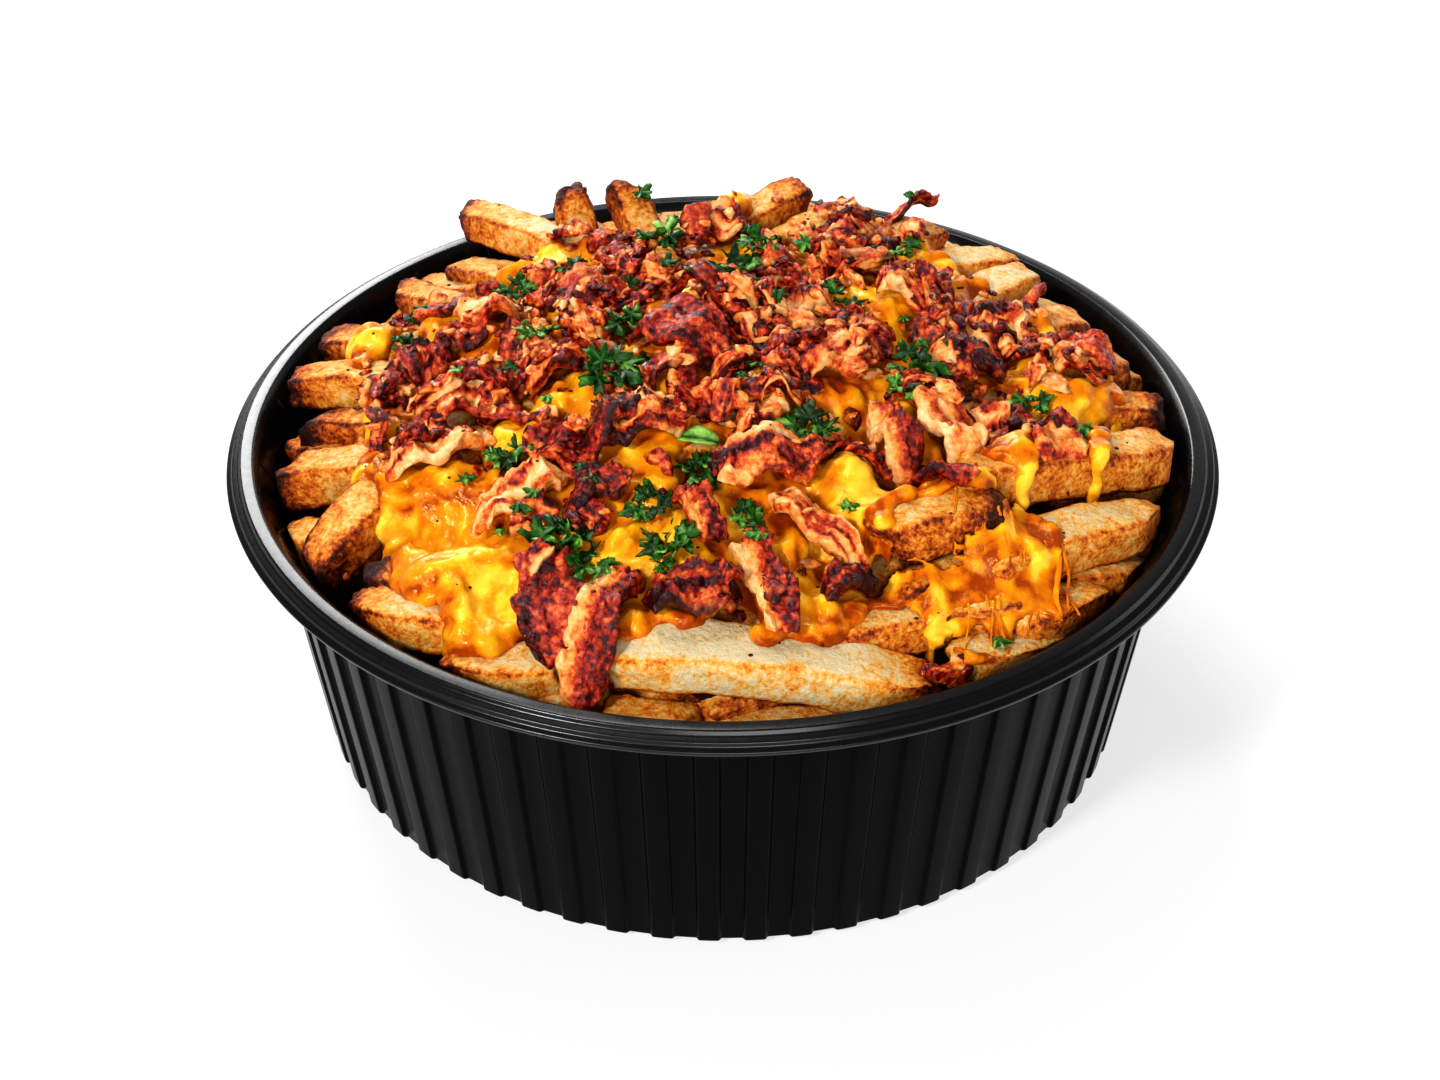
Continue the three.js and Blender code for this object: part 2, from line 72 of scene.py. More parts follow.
# The fries that show: outer tip, inner end, width, height, upward bow, and how brown the two ends are
FRIES = [
    # back, from left to right
    ((-53, 61, 69), (-30, 38, 72), 8, 7.5, 1, 0.75, 0.1),
    ((-31, 61, 76.5), (-27, 50, 63), 8, 7.5, 0, 0.75, 0.1),
    ((-21, 61, 76), (-14, 46, 66), 8, 7.5, 0, 0.5, 0.1),
    ((-39, 49, 69), (-22, 40, 70), 8, 8, 1, 0.3, 0.1),
    ((17, 60, 76), (-4, 43, 71), 8, 7.5, 1, 0.6, 0.1),
    ((30, 56, 72), (12, 44, 71), 8.5, 8, 1, 0.4, 0.1),
    ((43, 50, 70), (28, 36, 70), 10, 10, 0, 0.3, 0.1),
    ((60, 51, 63.5), (38, 38, 67), 9, 8, 1, 0.3, 0.1),
    ((62, 43, 64), (42, 22, 67), 10, 9.5, 1, 0.2, 0.1),
    ((71, 27, 62), (50, 16, 67), 10.5, 9, 1, 0.3, 0.1),
    ((77, 13, 61.5), (56, 4, 66), 10, 9, 0, 0.3, 0.1),
    ((83, 1, 60), (62, -5, 64), 8, 7, 0, 0.6, 0.1),
    # right
    ((83, -14, 61), (42, -36, 70), 10, 9, 1, 0.3, 0.1),
    ((80, -30, 58), (44, -54, 63), 10, 8.5, 1, 0.3, 0.1),
    ((79, -27, 50), (58, -42, 55), 9, 8, 0, 0.4, 0.1),
    ((77, -38, 50), (58, -46, 56), 9, 8, 0, 0.4, 0.1),
    ((68, -49, 52.5), (46, -60, 56), 10, 9, 1, 0.3, 0.1),
    ((58, -61, 51), (38, -69, 55), 9, 8, 0, 0.4, 0.2),
    ((81, -8, 52), (64, -22, 56), 9, 8, 0, 0.4, 0.1),
    # front
    ((-20, -71, 60), (35, -74, 53.5), 12, 8, 2, 0.15, 0.85),
    ((22, -68, 57.5), (2, -62, 59), 8, 7, 0, 0.7, 0.2),
    ((48.5, -45, 68.5), (27, -52.5, 69), 10, 9, 1.5, 1.3, 0.4),
    ((57, -54, 57), (20, -66, 58), 8.5, 8, 1, 0.4, 0.2),
    ((56, -43, 61), (30, -58, 61), 8, 7.5, 1, 0.3, 0.2),
    ((-47, -67, 53), (-24, -70, 56), 9.5, 8, 0, 0.5, 0.1),
    ((-64, -53, 53.5), (-42, -60, 57), 9.5, 8.5, 1, 0.8, 0.1),
    ((-72, -41, 52.5), (-58, -24, 61.5), 9.5, 9, 1, 0.8, 0.1),
    ((-61, -46, 56), (-46, -52, 57.5), 8, 7.5, 0, 1.0, 0.1),
    ((-21, -77, 51), (-4, -79.5, 50.5), 8.5, 8, 0, 0.4, 0.3),
    ((-5, -79.5, 48.5), (20, -78, 49), 8, 8, 0, 0.4, 0.4),
    ((-38, -72, 48), (-18, -73, 51), 9, 8, 0, 0.5, 0.3),
    # left
    ((-82, -13, 53), (-58, -21, 61.5), 9.5, 9, 1, 1.0, 0.1),
    ((-78, -1, 57), (-56, -11, 63.5), 7.5, 7.5, 0, 0.9, 0.1),
    ((-83, 12, 58.5), (-56, 2, 64.5), 8.5, 8, 1, 0.85, 0.1),
    ((-78, 27, 58.5), (-56, 12, 64.5), 9, 8, 1, 0.85, 0.1),
    ((-65, 43, 61), (-50, 28, 65.5), 8, 7.5, 0, 0.8, 0.1),
    ((-69, 25, 61), (-50, 14, 65.5), 7, 6.5, 0, 0.7, 0.1),
    ((-54, 50, 62), (-38, 34, 67), 8.5, 8, 0, 0.5, 0.1),
    ((-80, -26, 50), (-66, -36, 54), 9, 8, 0, 0.5, 0.2),
    ((-81, 4, 50), (-68, -8, 55), 8.5, 8, 0, 0.5, 0.2),
    # behind the heap
    ((-41, 68, 59), (-22, 52, 66), 9, 8.5, 1, 0.5, 0.1),
    ((-12, 79, 57), (-8, 52, 66), 9.5, 8.5, 1, 0.4, 0.1),
    ((6, 80, 56), (20, 52, 67), 9, 8.5, 1, 0.4, 0.1),
    ((33, 73, 58), (16, 54, 66), 9, 8, 0, 0.6, 0.1),
    ((52, 61, 57), (34, 48, 66), 9.5, 9, 1, 0.3, 0.1),
    ((-62, 52, 56), (-42, 38, 64), 9, 8, 0, 0.4, 0.1),
    ((-4, 66, 67), (22, 67, 64), 9, 8, 1, 0.5, 0.4),
    ((70, 44, 54), (52, 30, 61), 9.5, 9, 0, 0.3, 0.1),
    ((81, 20, 54), (64, 12, 60), 8.5, 8, 0, 0.4, 0.1),
    ((-80, 22, 51), (-62, 38, 56), 8.5, 8, 0, 0.3, 0.1),
    ((-32, 76, 53), (-4, 74, 56), 9, 8, 1, 0.5, 0.2),
    ((14, 79, 50), (42, 70, 53), 9, 8, 0, 0.4, 0.2),
    ((-72, 42, 49), (-50, 60, 53), 9, 8, 0, 0.4, 0.2),
]

# How far out the cheese reaches, at every 20 degrees from +X
CHEESE_REACH = [72, 66, 55, 56, 52, 50, 48, 58, 67, 66, 68, 70, 76, 74, 72, 66, 58, 66]
# Thicker pools of cheese: centre x and y, radius, and how much thicker they are
CHEESE_POOLS = [
    (-46, -48, 13, 2.0), (-54, -34, 9, 1.6), (-51, -27, 7, 1.4), (-40, -62, 9, 2.6), (-43, -54, 8, 1.6),
    (-28, -57, 9, 1.8), (-13, -57, 10, 2.2), (-4, -56, 8, 2.2), (-14, -40, 9, 1.8), (24, -42, 9.5, 5.0),
    (13, -61, 9, 1.6), (62, -7, 8, 2.4), (72, -4, 4, 0.8), (32, 13, 8, 3.2), (-52, 16, 7, 2.2),
    (-67, 15, 6, 1.4), (-28, -17, 7, 2.6), (-37, -23, 7, 2.6), (4, 37, 5, 1.2), (32, -28, 7, 2.8),
    (44, -46, 8, 1.2), (50, -31, 6, 1.0), (3, 5, 8, 1.2), (-20, -46, 8, 1.4), (12, 28, 9, 2.4),
    (-14, 34, 9, 2.2), (-34, 34, 7, 2.4), (40, 34, 8, 1.6), (0, 48, 7, 1.4), (51, -26, 5, 0.8),
    (31, -57, 5, 0.4),
]

# Bacon: centre x and y, turn in degrees, length, width, arch, lift by what lies under it, and its cut
BACON_PIECES = [
    (-28.5, -64.5, -78, 21, 12.5, 2.5, 0, "granular"),
    (-20, -69, -116, 22, 12, 2.5, 0, "edged"),
    (-5, -65.5, 8, 16, 11, 2, 0, "crisp"),
    (7, -63, -68, 21, 8.5, 1.5, 0, "edged"),
    (21, -60.5, 30, 11, 7.5, 1.5, 0, "crisp"),
    (-8, -8, -38, 21, 13, 4.5, 0, "shiny"),
    (-27, 14, 22, 15, 11, 2.5, 0, "glazed"),
    (-48, -12, 14, 18, 12, 2.5, 0, "mixed"),
    (-56, 2, 4, 12, 9, 1.5, 0, "lean"),
    (-44, 12, 10, 13, 11, 2, 0, "fatty"),
    (53, -21, -38, 18, 11, 2, 0, "crisp"),
    (40, -25, -66, 19, 11, 2, 0, "fatty"),
    (68, 6, -21, 14, 8, 1.5, 1, "glazed"),
    (51, 11, 40, 14, 10, 2, 0, "mixed"),
    (35, 14, 15, 14, 9, 1.5, 0, "mixed"),
    (45, -4, 22, 15, 9, 2, 0, "crisp"),
    (37, -42, -6, 13, 6, 1, 0, "glazed"),
    (16, -51, -36, 19, 6, 1.5, 0, "fatty"),
    (7, -40, 14, 19, 11, 2, 0, "mixed"),
    (-21, -45, 12, 12, 8, 1.5, 0, "crisp"),
    (-35, -40, 24, 18, 9, 1.5, 0, "fatty"),
    (38, 52, 28, 14, 3.6, 0, 8, "glazed"),
    (37, -73.5, 28, 9, 6, 1, 0, "glazed"),
    (-50, -27, 16, 20, 8, 1.5, 0, "fatty"),
    (-14, -32, 15, 18, 10, 2, 0, "mixed"),
    (4, -27, -16, 15, 9, 1.5, 0, "fatty"),
    (20, -13, 34, 17, 10, 2, 0, "mixed"),
    (-29, -11, -10, 13, 10, 2, 0, "lean"),
    (-3, 40, 12, 14, 9, 1, 0, "mixed"),
    (20, 34, 38, 16, 9, 2, 0, "lean"),
    (30, -29, -62, 14, 8, 1.5, 0, "edged"),
    (-4, -52, -58, 12, 7, 1.5, 0, "lean"),
    (13, 4, 24, 14, 9, 1.5, 0, "edged"),
]

# Parsley leaves: centre x and y, width across, and turn in degrees
LEAVES = [
    (-12, 30, 12, 20), (7, 26, 10, 80), (2, 14, 12, 140), (-40, 23, 9, 10), (22, 9, 9, 200),
    (33, 26, 9, 60), (-19, -20, 13, 30), (-34, -1, 9, 100), (-18, 3, 10, 250), (-60, 12, 8, 0),
    (34, -13, 11, 170), (32, -20, 8, 40), (57, -9, 8, 300), (15, -32, 12, 220), (-4, -40, 11, 350),
    (-38, -30, 10, 120), (-27, -52, 13, 15), (-12, -48, 11, 190), (-22, -58, 11, 75), (-9, -57, 12, 260),
    (4, -51, 8, 130),
]


def colour(hex_value):
    """A shader's linear colour from an sRGB hex value."""
    channels = [int(hex_value[i:i + 2], 16) / 255 for i in (1, 3, 5)]
    linear = [c / 12.92 if c <= 0.04045 else ((c + 0.055) / 1.055) ** 2.4 for c in channels]
    return (*linear, 1.0)


class BowlSettings(bpy.types.PropertyGroup):
    rib_count: IntProperty(
        name="Ribs", description="How many upright ribs stand round the wall", default=60, min=12, max=120)
    rib_depth: FloatProperty(
        name="Rib depth", description="How far a rib stands out of the wall", default=0.7 * MM,
        unit="LENGTH", precision=5)
    edge: FloatProperty(
        name="Edge radius", description="Rounding of the rim's and the foot's edges", default=0.28 * MM,
        unit="LENGTH", precision=5)
    plastic: FloatVectorProperty(
        name="Plastic", description="Colour of the moulded plastic", default=colour("#090A0B"),
        subtype="COLOR", size=4)


class FriesSettings(bpy.types.PropertyGroup):
    fillers: IntProperty(
        name="Buried fries", description="How many fries lie under the ones that show", default=120, min=0)
    relief: FloatProperty(
        name="Relief", description="Height of the blisters on a fry", default=0.32 * MM, unit="LENGTH",
        precision=5)
    pale: FloatVectorProperty(
        name="Pale potato", description="Colour of the least fried faces", default=colour("#D8C8A2"),
        subtype="COLOR", size=4)
    golden: FloatVectorProperty(
        name="Golden potato", description="Colour of the fried faces", default=colour("#D88C2A"),
        subtype="COLOR", size=4)
    brown: FloatVectorProperty(
        name="Browned ends", description="Colour of the crisp ends and corners", default=colour("#2E0E05"),
        subtype="COLOR", size=4)


class CheeseSettings(bpy.types.PropertyGroup):
    thickness: FloatProperty(
        name="Thickness", description="Thickness of the cheese between its pools", default=1.2 * MM,
        unit="LENGTH", precision=5)
    grain: FloatProperty(
        name="Mesh size", description="Size of the melted surface's mesh", default=0.75 * MM, unit="LENGTH",
        precision=5)
    melted: FloatVectorProperty(
        name="Melted cheese", description="Colour of the thick pools", default=colour("#D88E14"),
        subtype="COLOR", size=4)
    thin: FloatVectorProperty(
        name="Thin cheese", description="Colour where the cheese is thin", default=colour("#CE7410"),
        subtype="COLOR", size=4)


class BaconSettings(bpy.types.PropertyGroup):
    thickness: FloatProperty(
        name="Thickness", description="Thickness of a bacon piece", default=3.2 * MM, unit="LENGTH",
        precision=5)
    crumbs: IntProperty(
        name="Crumbs", description="How many small crumbs of bacon lie on the heap", default=840, min=0)
    shreds: IntProperty(
        name="Shreds", description="How many thin shreds of bacon lie on the heap", default=180, min=0)
    lean: FloatVectorProperty(
        name="Lean", description="Colour of the fried lean meat", default=colour("#901E10"),
        subtype="COLOR", size=4)
    fat: FloatVectorProperty(
        name="Fat", description="Colour of the fried fat", default=colour("#ECB67E"), subtype="COLOR", size=4)
    charred: FloatVectorProperty(
        name="Charred edge", description="Colour of the crisp edges", default=colour("#2B0806"),
        subtype="COLOR", size=4)


class ParsleySettings(bpy.types.PropertyGroup):
    thickness: FloatProperty(
        name="Thickness", description="Thickness of a leaf", default=0.3 * MM, unit="LENGTH", precision=5)
    dark: FloatVectorProperty(
        name="Leaf", description="Colour of the leaf's upper side", default=colour("#2A6216"),
        subtype="COLOR", size=4)
    light: FloatVectorProperty(
        name="Young leaf", description="Colour of its paler folds", default=colour("#93BE58"),
        subtype="COLOR", size=4)


class StageSettings(bpy.types.PropertyGroup):
    elevation: FloatProperty(
        name="Elevation", description="Angle at which the camera looks down", default=math.radians(36),
        subtype="ANGLE")
    distance: FloatProperty(
        name="Distance", description="From the camera to the point that it looks at", default=0.4625,
        unit="LENGTH")
    lens: FloatProperty(name="Lens", description="Focal length in millimetres", default=59.25)
    floor: FloatVectorProperty(
        name="Floor", description="Colour of the floor", default=colour("#8A8A8A"), subtype="COLOR", size=4)


# Shader sockets of a colour Mix node
MIX_FACTOR, MIX_A, MIX_B, MIX_RESULT = 0, 6, 7, 2


def add_node(tree, kind, inputs=None, stops=(), **settings):
    """Adds a shader node with its settings, its values or links, and a ramp's stops.

    A node given as a value is linked from its first output.
    """
    made = tree.nodes.new("ShaderNode" + kind)
    for name, value in settings.items():
        setattr(made, name, value)
    for socket, value in (inputs or {}).items():
        if isinstance(value, bpy.types.Node):
            value = value.outputs[0]
        if isinstance(value, bpy.types.NodeSocket):
            tree.links.new(value, made.inputs[socket])
        else:
            made.inputs[socket].default_value = value
    for i, (place, shade) in enumerate(stops):
        elements = made.color_ramp.elements
        stop = elements[i] if i < 2 else elements.new(place)
        stop.position = place
        stop.color = shade
    return made


def new_material(name):
    """A material without nodes, its node tree, and the place of a shaded point on the object."""
    material = bpy.data.materials.new(name)
    material.use_nodes = True
    tree = material.node_tree
    tree.nodes.clear()
    return material, tree, add_node(tree, "TexCoord").outputs["Object"]


def close_material(tree, surface):
    add_node(tree, "OutputMaterial", {"Surface": surface})


def varied(tree, base, *patterns):
    """The base value with patterns added to it, each times its strength and moved by its offset."""
    for pattern, strength, offset in patterns:
        part = add_node(tree, "Math", {0: pattern, 1: strength, 2: offset}, operation="MULTIPLY_ADD")
        base = add_node(tree, "Math", {0: base, 1: part}, operation="ADD")
    return base


def grey(value):
    return (value, value, value, 1.0)


def noise_at(points, size, seed=0.0):
    """Smooth noise from about -1 to 1 at each point, with bumps of the given size."""
    shifted = points / size + np.array((seed * 1.7, seed * 3.1, seed * 5.3))
    return np.array([noise.noise(point) for point in shifted.tolist()])


def mound(x, y):
    """Height of the heap over the rim."""
    fall = (x * x + y * y) / FALL_RADIUS ** 2
    uneven = 1.1 * np.sin(x / 9 + 0.8) * np.cos(y / 8) + 0.8 * np.sin((x + y) / 6)
    return CROWN - CROWN_FALL * fall + uneven * (1 - fall)


def wall_radius(z):
    """Radius of the wall's outer face at a height."""
    share = z / UNDER_FLANGE
    return WALL_FOOT_RADIUS + (WALL_TOP_RADIUS - WALL_FOOT_RADIUS) * share


def as_points(x, y=0.0, z=0.0):
    """Points from their coordinates, each an array or one value for all."""
    return np.stack(np.broadcast_arrays(x, y, z), 1)


def points_of(verts):
    return np.array([vert.co[:] for vert in verts])


def move_points(bm, points):
    for vert, point in zip(bm.verts, points.tolist()):
        vert.co = point


def normals_of(bm):
    bm.normal_update()
    return np.array([vert.normal[:] for vert in bm.verts])


def polar(turn, radius):
    """The place at a turn round the middle and a radius."""
    return radius * math.cos(turn), radius * math.sin(turn)


def new_shape(*shares):
    """An empty shape whose points can carry the shares named."""
    bm = bmesh.new()
    for share in shares:
        bm.verts.layers.float.new(share)
    return bm


def as_mesh(bm, name):
    """Makes a shape a mesh, and frees the shape."""
    mesh = bpy.data.meshes.new(name)
    bm.to_mesh(mesh)
    bm.free()
    return mesh


def add_object(name, data):
    """An object of the data, placed in the scene."""
    made = bpy.data.objects.new(name, data)
    bpy.context.scene.collection.objects.link(made)
    return made


def box_grid(stations, across, over):
    """A box from -1 to 1 each way, split at the places given along X, Y and Z, and its points."""
    bm = new_shape()
    bmesh.ops.create_cube(bm, size=2)
    for axis, places in enumerate((stations, across, over)):
        along = [edge for edge in bm.edges if abs((edge.verts[0].co - edge.verts[1].co)[axis]) > 1]
        cuts = len(places) - 2
        bmesh.ops.subdivide_edges(bm, edges=along, cuts=cuts, use_grid_fill=True)
        for vert in bm.verts:
            vert.co[axis] = places[round((vert.co[axis] + 1) / 2 * (cuts + 1))]
    template = as_mesh(bm, "template")
    return template, points_of(template.vertices)


def spun(bm, section, steps, rounding=0.0):
    """Spins a section of radii and heights round Z into a closed body, with its corners rounded."""
    corners = [bm.verts.new((radius, 0, z)) for radius, z in section]
    for start, end in zip(corners, corners[1:]):
        bm.edges.new((start, end))
    if rounding:
        bmesh.ops.bevel(bm, geom=corners[1:-1], offset=rounding, segments=3, affect="VERTICES",
                        profile=0.5, material=-1)
    bmesh.ops.spin(bm, geom=bm.verts[:] + bm.edges[:], cent=(0, 0, 0), axis=(0, 0, 1), dvec=(0, 0, 0),
                   angle=math.tau, steps=steps, use_merge=True, use_duplicate=False)
    bmesh.ops.remove_doubles(bm, verts=bm.verts, dist=1e-4)
    bmesh.ops.recalc_face_normals(bm, faces=bm.faces)


def smoothed(bm, verts, times):
    """Moves each of the points halfway to its neighbours' middle, as many times as given."""
    for _ in range(times):
        bmesh.ops.smooth_vert(bm, verts=verts, factor=0.5, use_axis_x=True, use_axis_y=True, use_axis_z=True)


def add_shape(bm, template, place, **shares):
    """Adds a copy of the template to bm, with its points moved by place and its named shares set."""
    first = len(bm.verts)
    bm.from_mesh(template)
    bm.verts.ensure_lookup_table()
    added = bm.verts[first:]
    for vert, point in zip(added, place.tolist()):
        vert.co = point
    for name, values in shares.items():
        layer = bm.verts.layers.float[name]
        for vert, value in zip(added, values.tolist()):
            vert[layer] = value


def finish_piece(bm, name, material, nodes=(), sharp=None):
    """Makes bm a piece in metres that rides on the body and stands for the nodes named."""
    bmesh.ops.scale(bm, vec=(MM, MM, MM), verts=bm.verts)
    mesh = as_mesh(bm, name)
    mesh.shade_smooth()
    if sharp is not None:
        mesh.set_sharp_from_angle(angle=math.radians(sharp))
    mesh.materials.append(material)
    piece = add_object(name, mesh)
    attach(piece, "root")
    if nodes:
        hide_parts(*nodes)
    return piece


class HeightMap:
    """Heights of what lies in the bowl, on a square grid, seen from above."""

    STEP = 1.0
    REACH = 88.0
    COUNT = int(2 * REACH / STEP) + 1
    # The height that rays fall from, and the radius past which a place takes the height by the wall
    RAY_START = 200
    BY_WALL = 80

    def __init__(self, names):
        self.heights = np.full((self.COUNT, self.COUNT), INSIDE_CORNER)
        for name in names:
            self.cover(bpy.data.objects[name])

    def cover(self, piece):
        """Raises the heights to the top of a piece."""
        tree = BVHTree.FromObject(piece, bpy.context.evaluated_depsgraph_get())
        corners = np.array([corner[:] for corner in piece.bound_box]) / MM
        low = np.maximum(np.floor((corners.min(0) + self.REACH) / self.STEP), 0).astype(int)
        high = np.minimum(np.ceil((corners.max(0) + self.REACH) / self.STEP), self.COUNT - 1).astype(int)
        down = Vector((0, 0, -1))
        for i in range(low[0], high[0] + 1):
            for j in range(low[1], high[1] + 1):
                start = Vector((i * self.STEP - self.REACH, j * self.STEP - self.REACH, self.RAY_START)) * MM
                hit = tree.ray_cast(start, down)[0]
                if hit is not None:
                    self.heights[i, j] = max(self.heights[i, j], hit.z / MM)

    def at(self, x, y, heights=None):
        """Heights at the points given, between the grid's own; beyond the bowl, as by its wall."""
        grid = self.heights if heights is None else heights
        inward = np.minimum(1, self.BY_WALL / np.maximum(np.hypot(x, y), 1e-6))
        u, v = (
            np.clip((np.asarray(place, float) * inward + self.REACH) / self.STEP, 0, self.COUNT - 1.001)
            for place in (x, y))
        i, j = u.astype(int), v.astype(int)
        a, b = u - i, v - j
        low = grid[i, j] * (1 - a) + grid[i + 1, j] * a
        high = grid[i, j + 1] * (1 - a) + grid[i + 1, j + 1] * a
        return low * (1 - b) + high * b


def blurred(grid, radius):
    """A grid smoothed over about the radius given, in cells."""
    offsets = np.arange(-3 * radius, 3 * radius + 1)
    weights = np.exp(-0.5 * (offsets / radius) ** 2)
    weights = weights / weights.sum()
    for axis in (0, 1):
        pad = [(0, 0), (0, 0)]
        pad[axis] = (len(offsets) // 2, len(offsets) // 2)
        padded = np.pad(grid, pad, mode="edge")
        size = grid.shape[axis]
        grid = sum(w * np.take(padded, range(k, k + size), axis) for k, w in enumerate(weights))
    return grid


def widened(grid, cells, largest=True):
    """A grid where each cell takes the largest, or the smallest, height round it."""
    pick = np.maximum if largest else np.minimum
    for axis in (0, 1):
        found = grid
        for shift in range(-cells, cells + 1):
            found = pick(found, np.roll(grid, shift, axis))
        grid = found
    return grid


def moulded_plastic(settings):
    """Moulded black polypropylene: a deep black satin wall, and a rim that shines where it is smooth."""
    material, tree, place = new_material("Moulded polypropylene")
    mould = add_node(tree, "TexNoise", {"Vector": place, "Scale": 1 / (1.6 * MM), "Detail": 3.0})
    polish = add_node(tree, "Attribute", attribute_name="polish").outputs["Fac"]
    sheen = add_node(tree, "MapRange", {"Value": polish, "To Min": 0.05, "To Max": 0.5})
    soft = add_node(tree, "MapRange", {"Value": polish, "To Min": 0.2, "To Max": 0.24})
    gloss = add_node(tree, "Math", {0: mould, 1: 0.08, 2: soft}, operation="MULTIPLY_ADD")
    bump = add_node(tree, "Bump", {"Height": mould, "Strength": 0.08, "Distance": 0.1 * MM})
    surface = add_node(tree, "BsdfPrincipled", {
        "Base Color": settings.plastic[:], "Roughness": gloss, "IOR": 1.49, "Specular IOR Level": sheen,
        "Normal": bump})
    close_material(tree, surface)
    return material


def fried_potato(settings, name="Fried potato", shade=1.0):
    """Potato fried in oil: pale starchy faces with golden specks, crisp brown corners and ends, and painted
    shade on the sides and undersides.
    """
    material, tree, place = new_material(name)
    specks = add_node(tree, "TexNoise", {
        "Vector": place, "Scale": 1 / (0.9 * MM), "Detail": 5.0, "Roughness": 0.7})
    patches = add_node(tree, "TexNoise", {"Vector": place, "Scale": 1 / (4 * MM), "Detail": 3.0})
    cells = add_node(tree, "TexVoronoi", {"Vector": place, "Scale": 1 / (2.3 * MM)})
    # The brown attribute holds the fry's browning together with the painted shade on its sides and underside.
    brown_and_side_shade = add_node(tree, "Attribute", attribute_name="brown").outputs["Fac"]
    tone = add_node(tree, "Attribute", attribute_name="tone").outputs["Fac"]
    toned = add_node(tree, "Math", {0: tone, 1: 0.22, 2: brown_and_side_shade}, operation="MULTIPLY_ADD")
    cooked_and_side_shade = varied(tree, toned, (specks, 1.5, -0.76), (patches, 0.5, -0.23), (cells, 0.3, -0.13))
    crust_and_side_shade = add_node(tree, "ValToRGB", {"Fac": cooked_and_side_shade}, stops=[
        (0.0, settings.pale[:]), (0.22, colour("#E0B060")), (0.42, settings.golden[:]),
        (0.6, colour("#BA5E16")), (0.78, colour("#78300C")), (1.0, settings.brown[:])])
    # A shade below 1 darkens the whole colour: painted shade, as on the heap's core.
    shaded = add_node(tree, "HueSaturation", {"Color": crust_and_side_shade, "Value": shade})
    height = add_node(tree, "Math", {0: cells, 1: -0.5, 2: specks}, operation="MULTIPLY_ADD")
    grain = add_node(tree, "Bump", {"Height": height, "Strength": 0.8, "Distance": 0.7 * MM})
    oily = add_node(tree, "MapRange", {"Value": patches, "To Min": 0.35, "To Max": 0.65})
    surface = add_node(tree, "BsdfPrincipled", {
        "Base Color": shaded, "Roughness": oily, "Specular IOR Level": 0.3, "Subsurface Weight": 0.1,
        "Subsurface Radius": (1.0, 0.5, 0.2), "Subsurface Scale": 1.5 * MM, "Normal": grain})
    close_material(tree, surface)
    return material


def melted_cheese(settings):
    """Melted cheddar: wet and glossy, deep yellow in its pools and orange where it is thin, with painted
    highlight on its lumps and painted shade in their creases.
    """
    material, tree, place = new_material("Melted cheddar")
    marbling = add_node(tree, "TexNoise", {
        "Vector": place, "Scale": 1 / (7 * MM), "Detail": 4.0, "Roughness": 0.6, "Distortion": 0.8})
    grain = add_node(tree, "TexNoise", {
        "Vector": place, "Scale": 1 / (1.8 * MM), "Detail": 4.0, "Roughness": 0.6})
    # The depth attribute holds the cheese's thickness, with painted highlight on its lumps and painted shade
    # in their creases.
    depth = add_node(tree, "Attribute", attribute_name="depth").outputs["Fac"]
    mixed = varied(tree, depth, (marbling, 1.5, -0.76), (grain, 0.7, -0.35))
    tint = add_node(tree, "ValToRGB", {"Fac": mixed}, stops=[
        (0.0, colour("#9C440A")), (0.26, settings.thin[:]), (0.55, settings.melted[:]),
        (0.82, colour("#EAA822")), (1.0, colour("#F4BE3E"))])
    wet = add_node(tree, "MapRange", {"Value": grain, "To Min": 0.1, "To Max": 0.32})
    relief = add_node(tree, "Bump", {"Height": grain, "Strength": 0.5, "Distance": 0.6 * MM})
    surface = add_node(tree, "BsdfPrincipled", {
        "Base Color": tint, "Roughness": wet, "IOR": 1.46, "Specular Tint": colour("#FFE9A6"),
        "Subsurface Weight": 0.2, "Subsurface Radius": (1.0, 0.6, 0.1), "Subsurface Scale": 2 * MM,
        "Normal": relief})
    close_material(tree, surface)
    return material


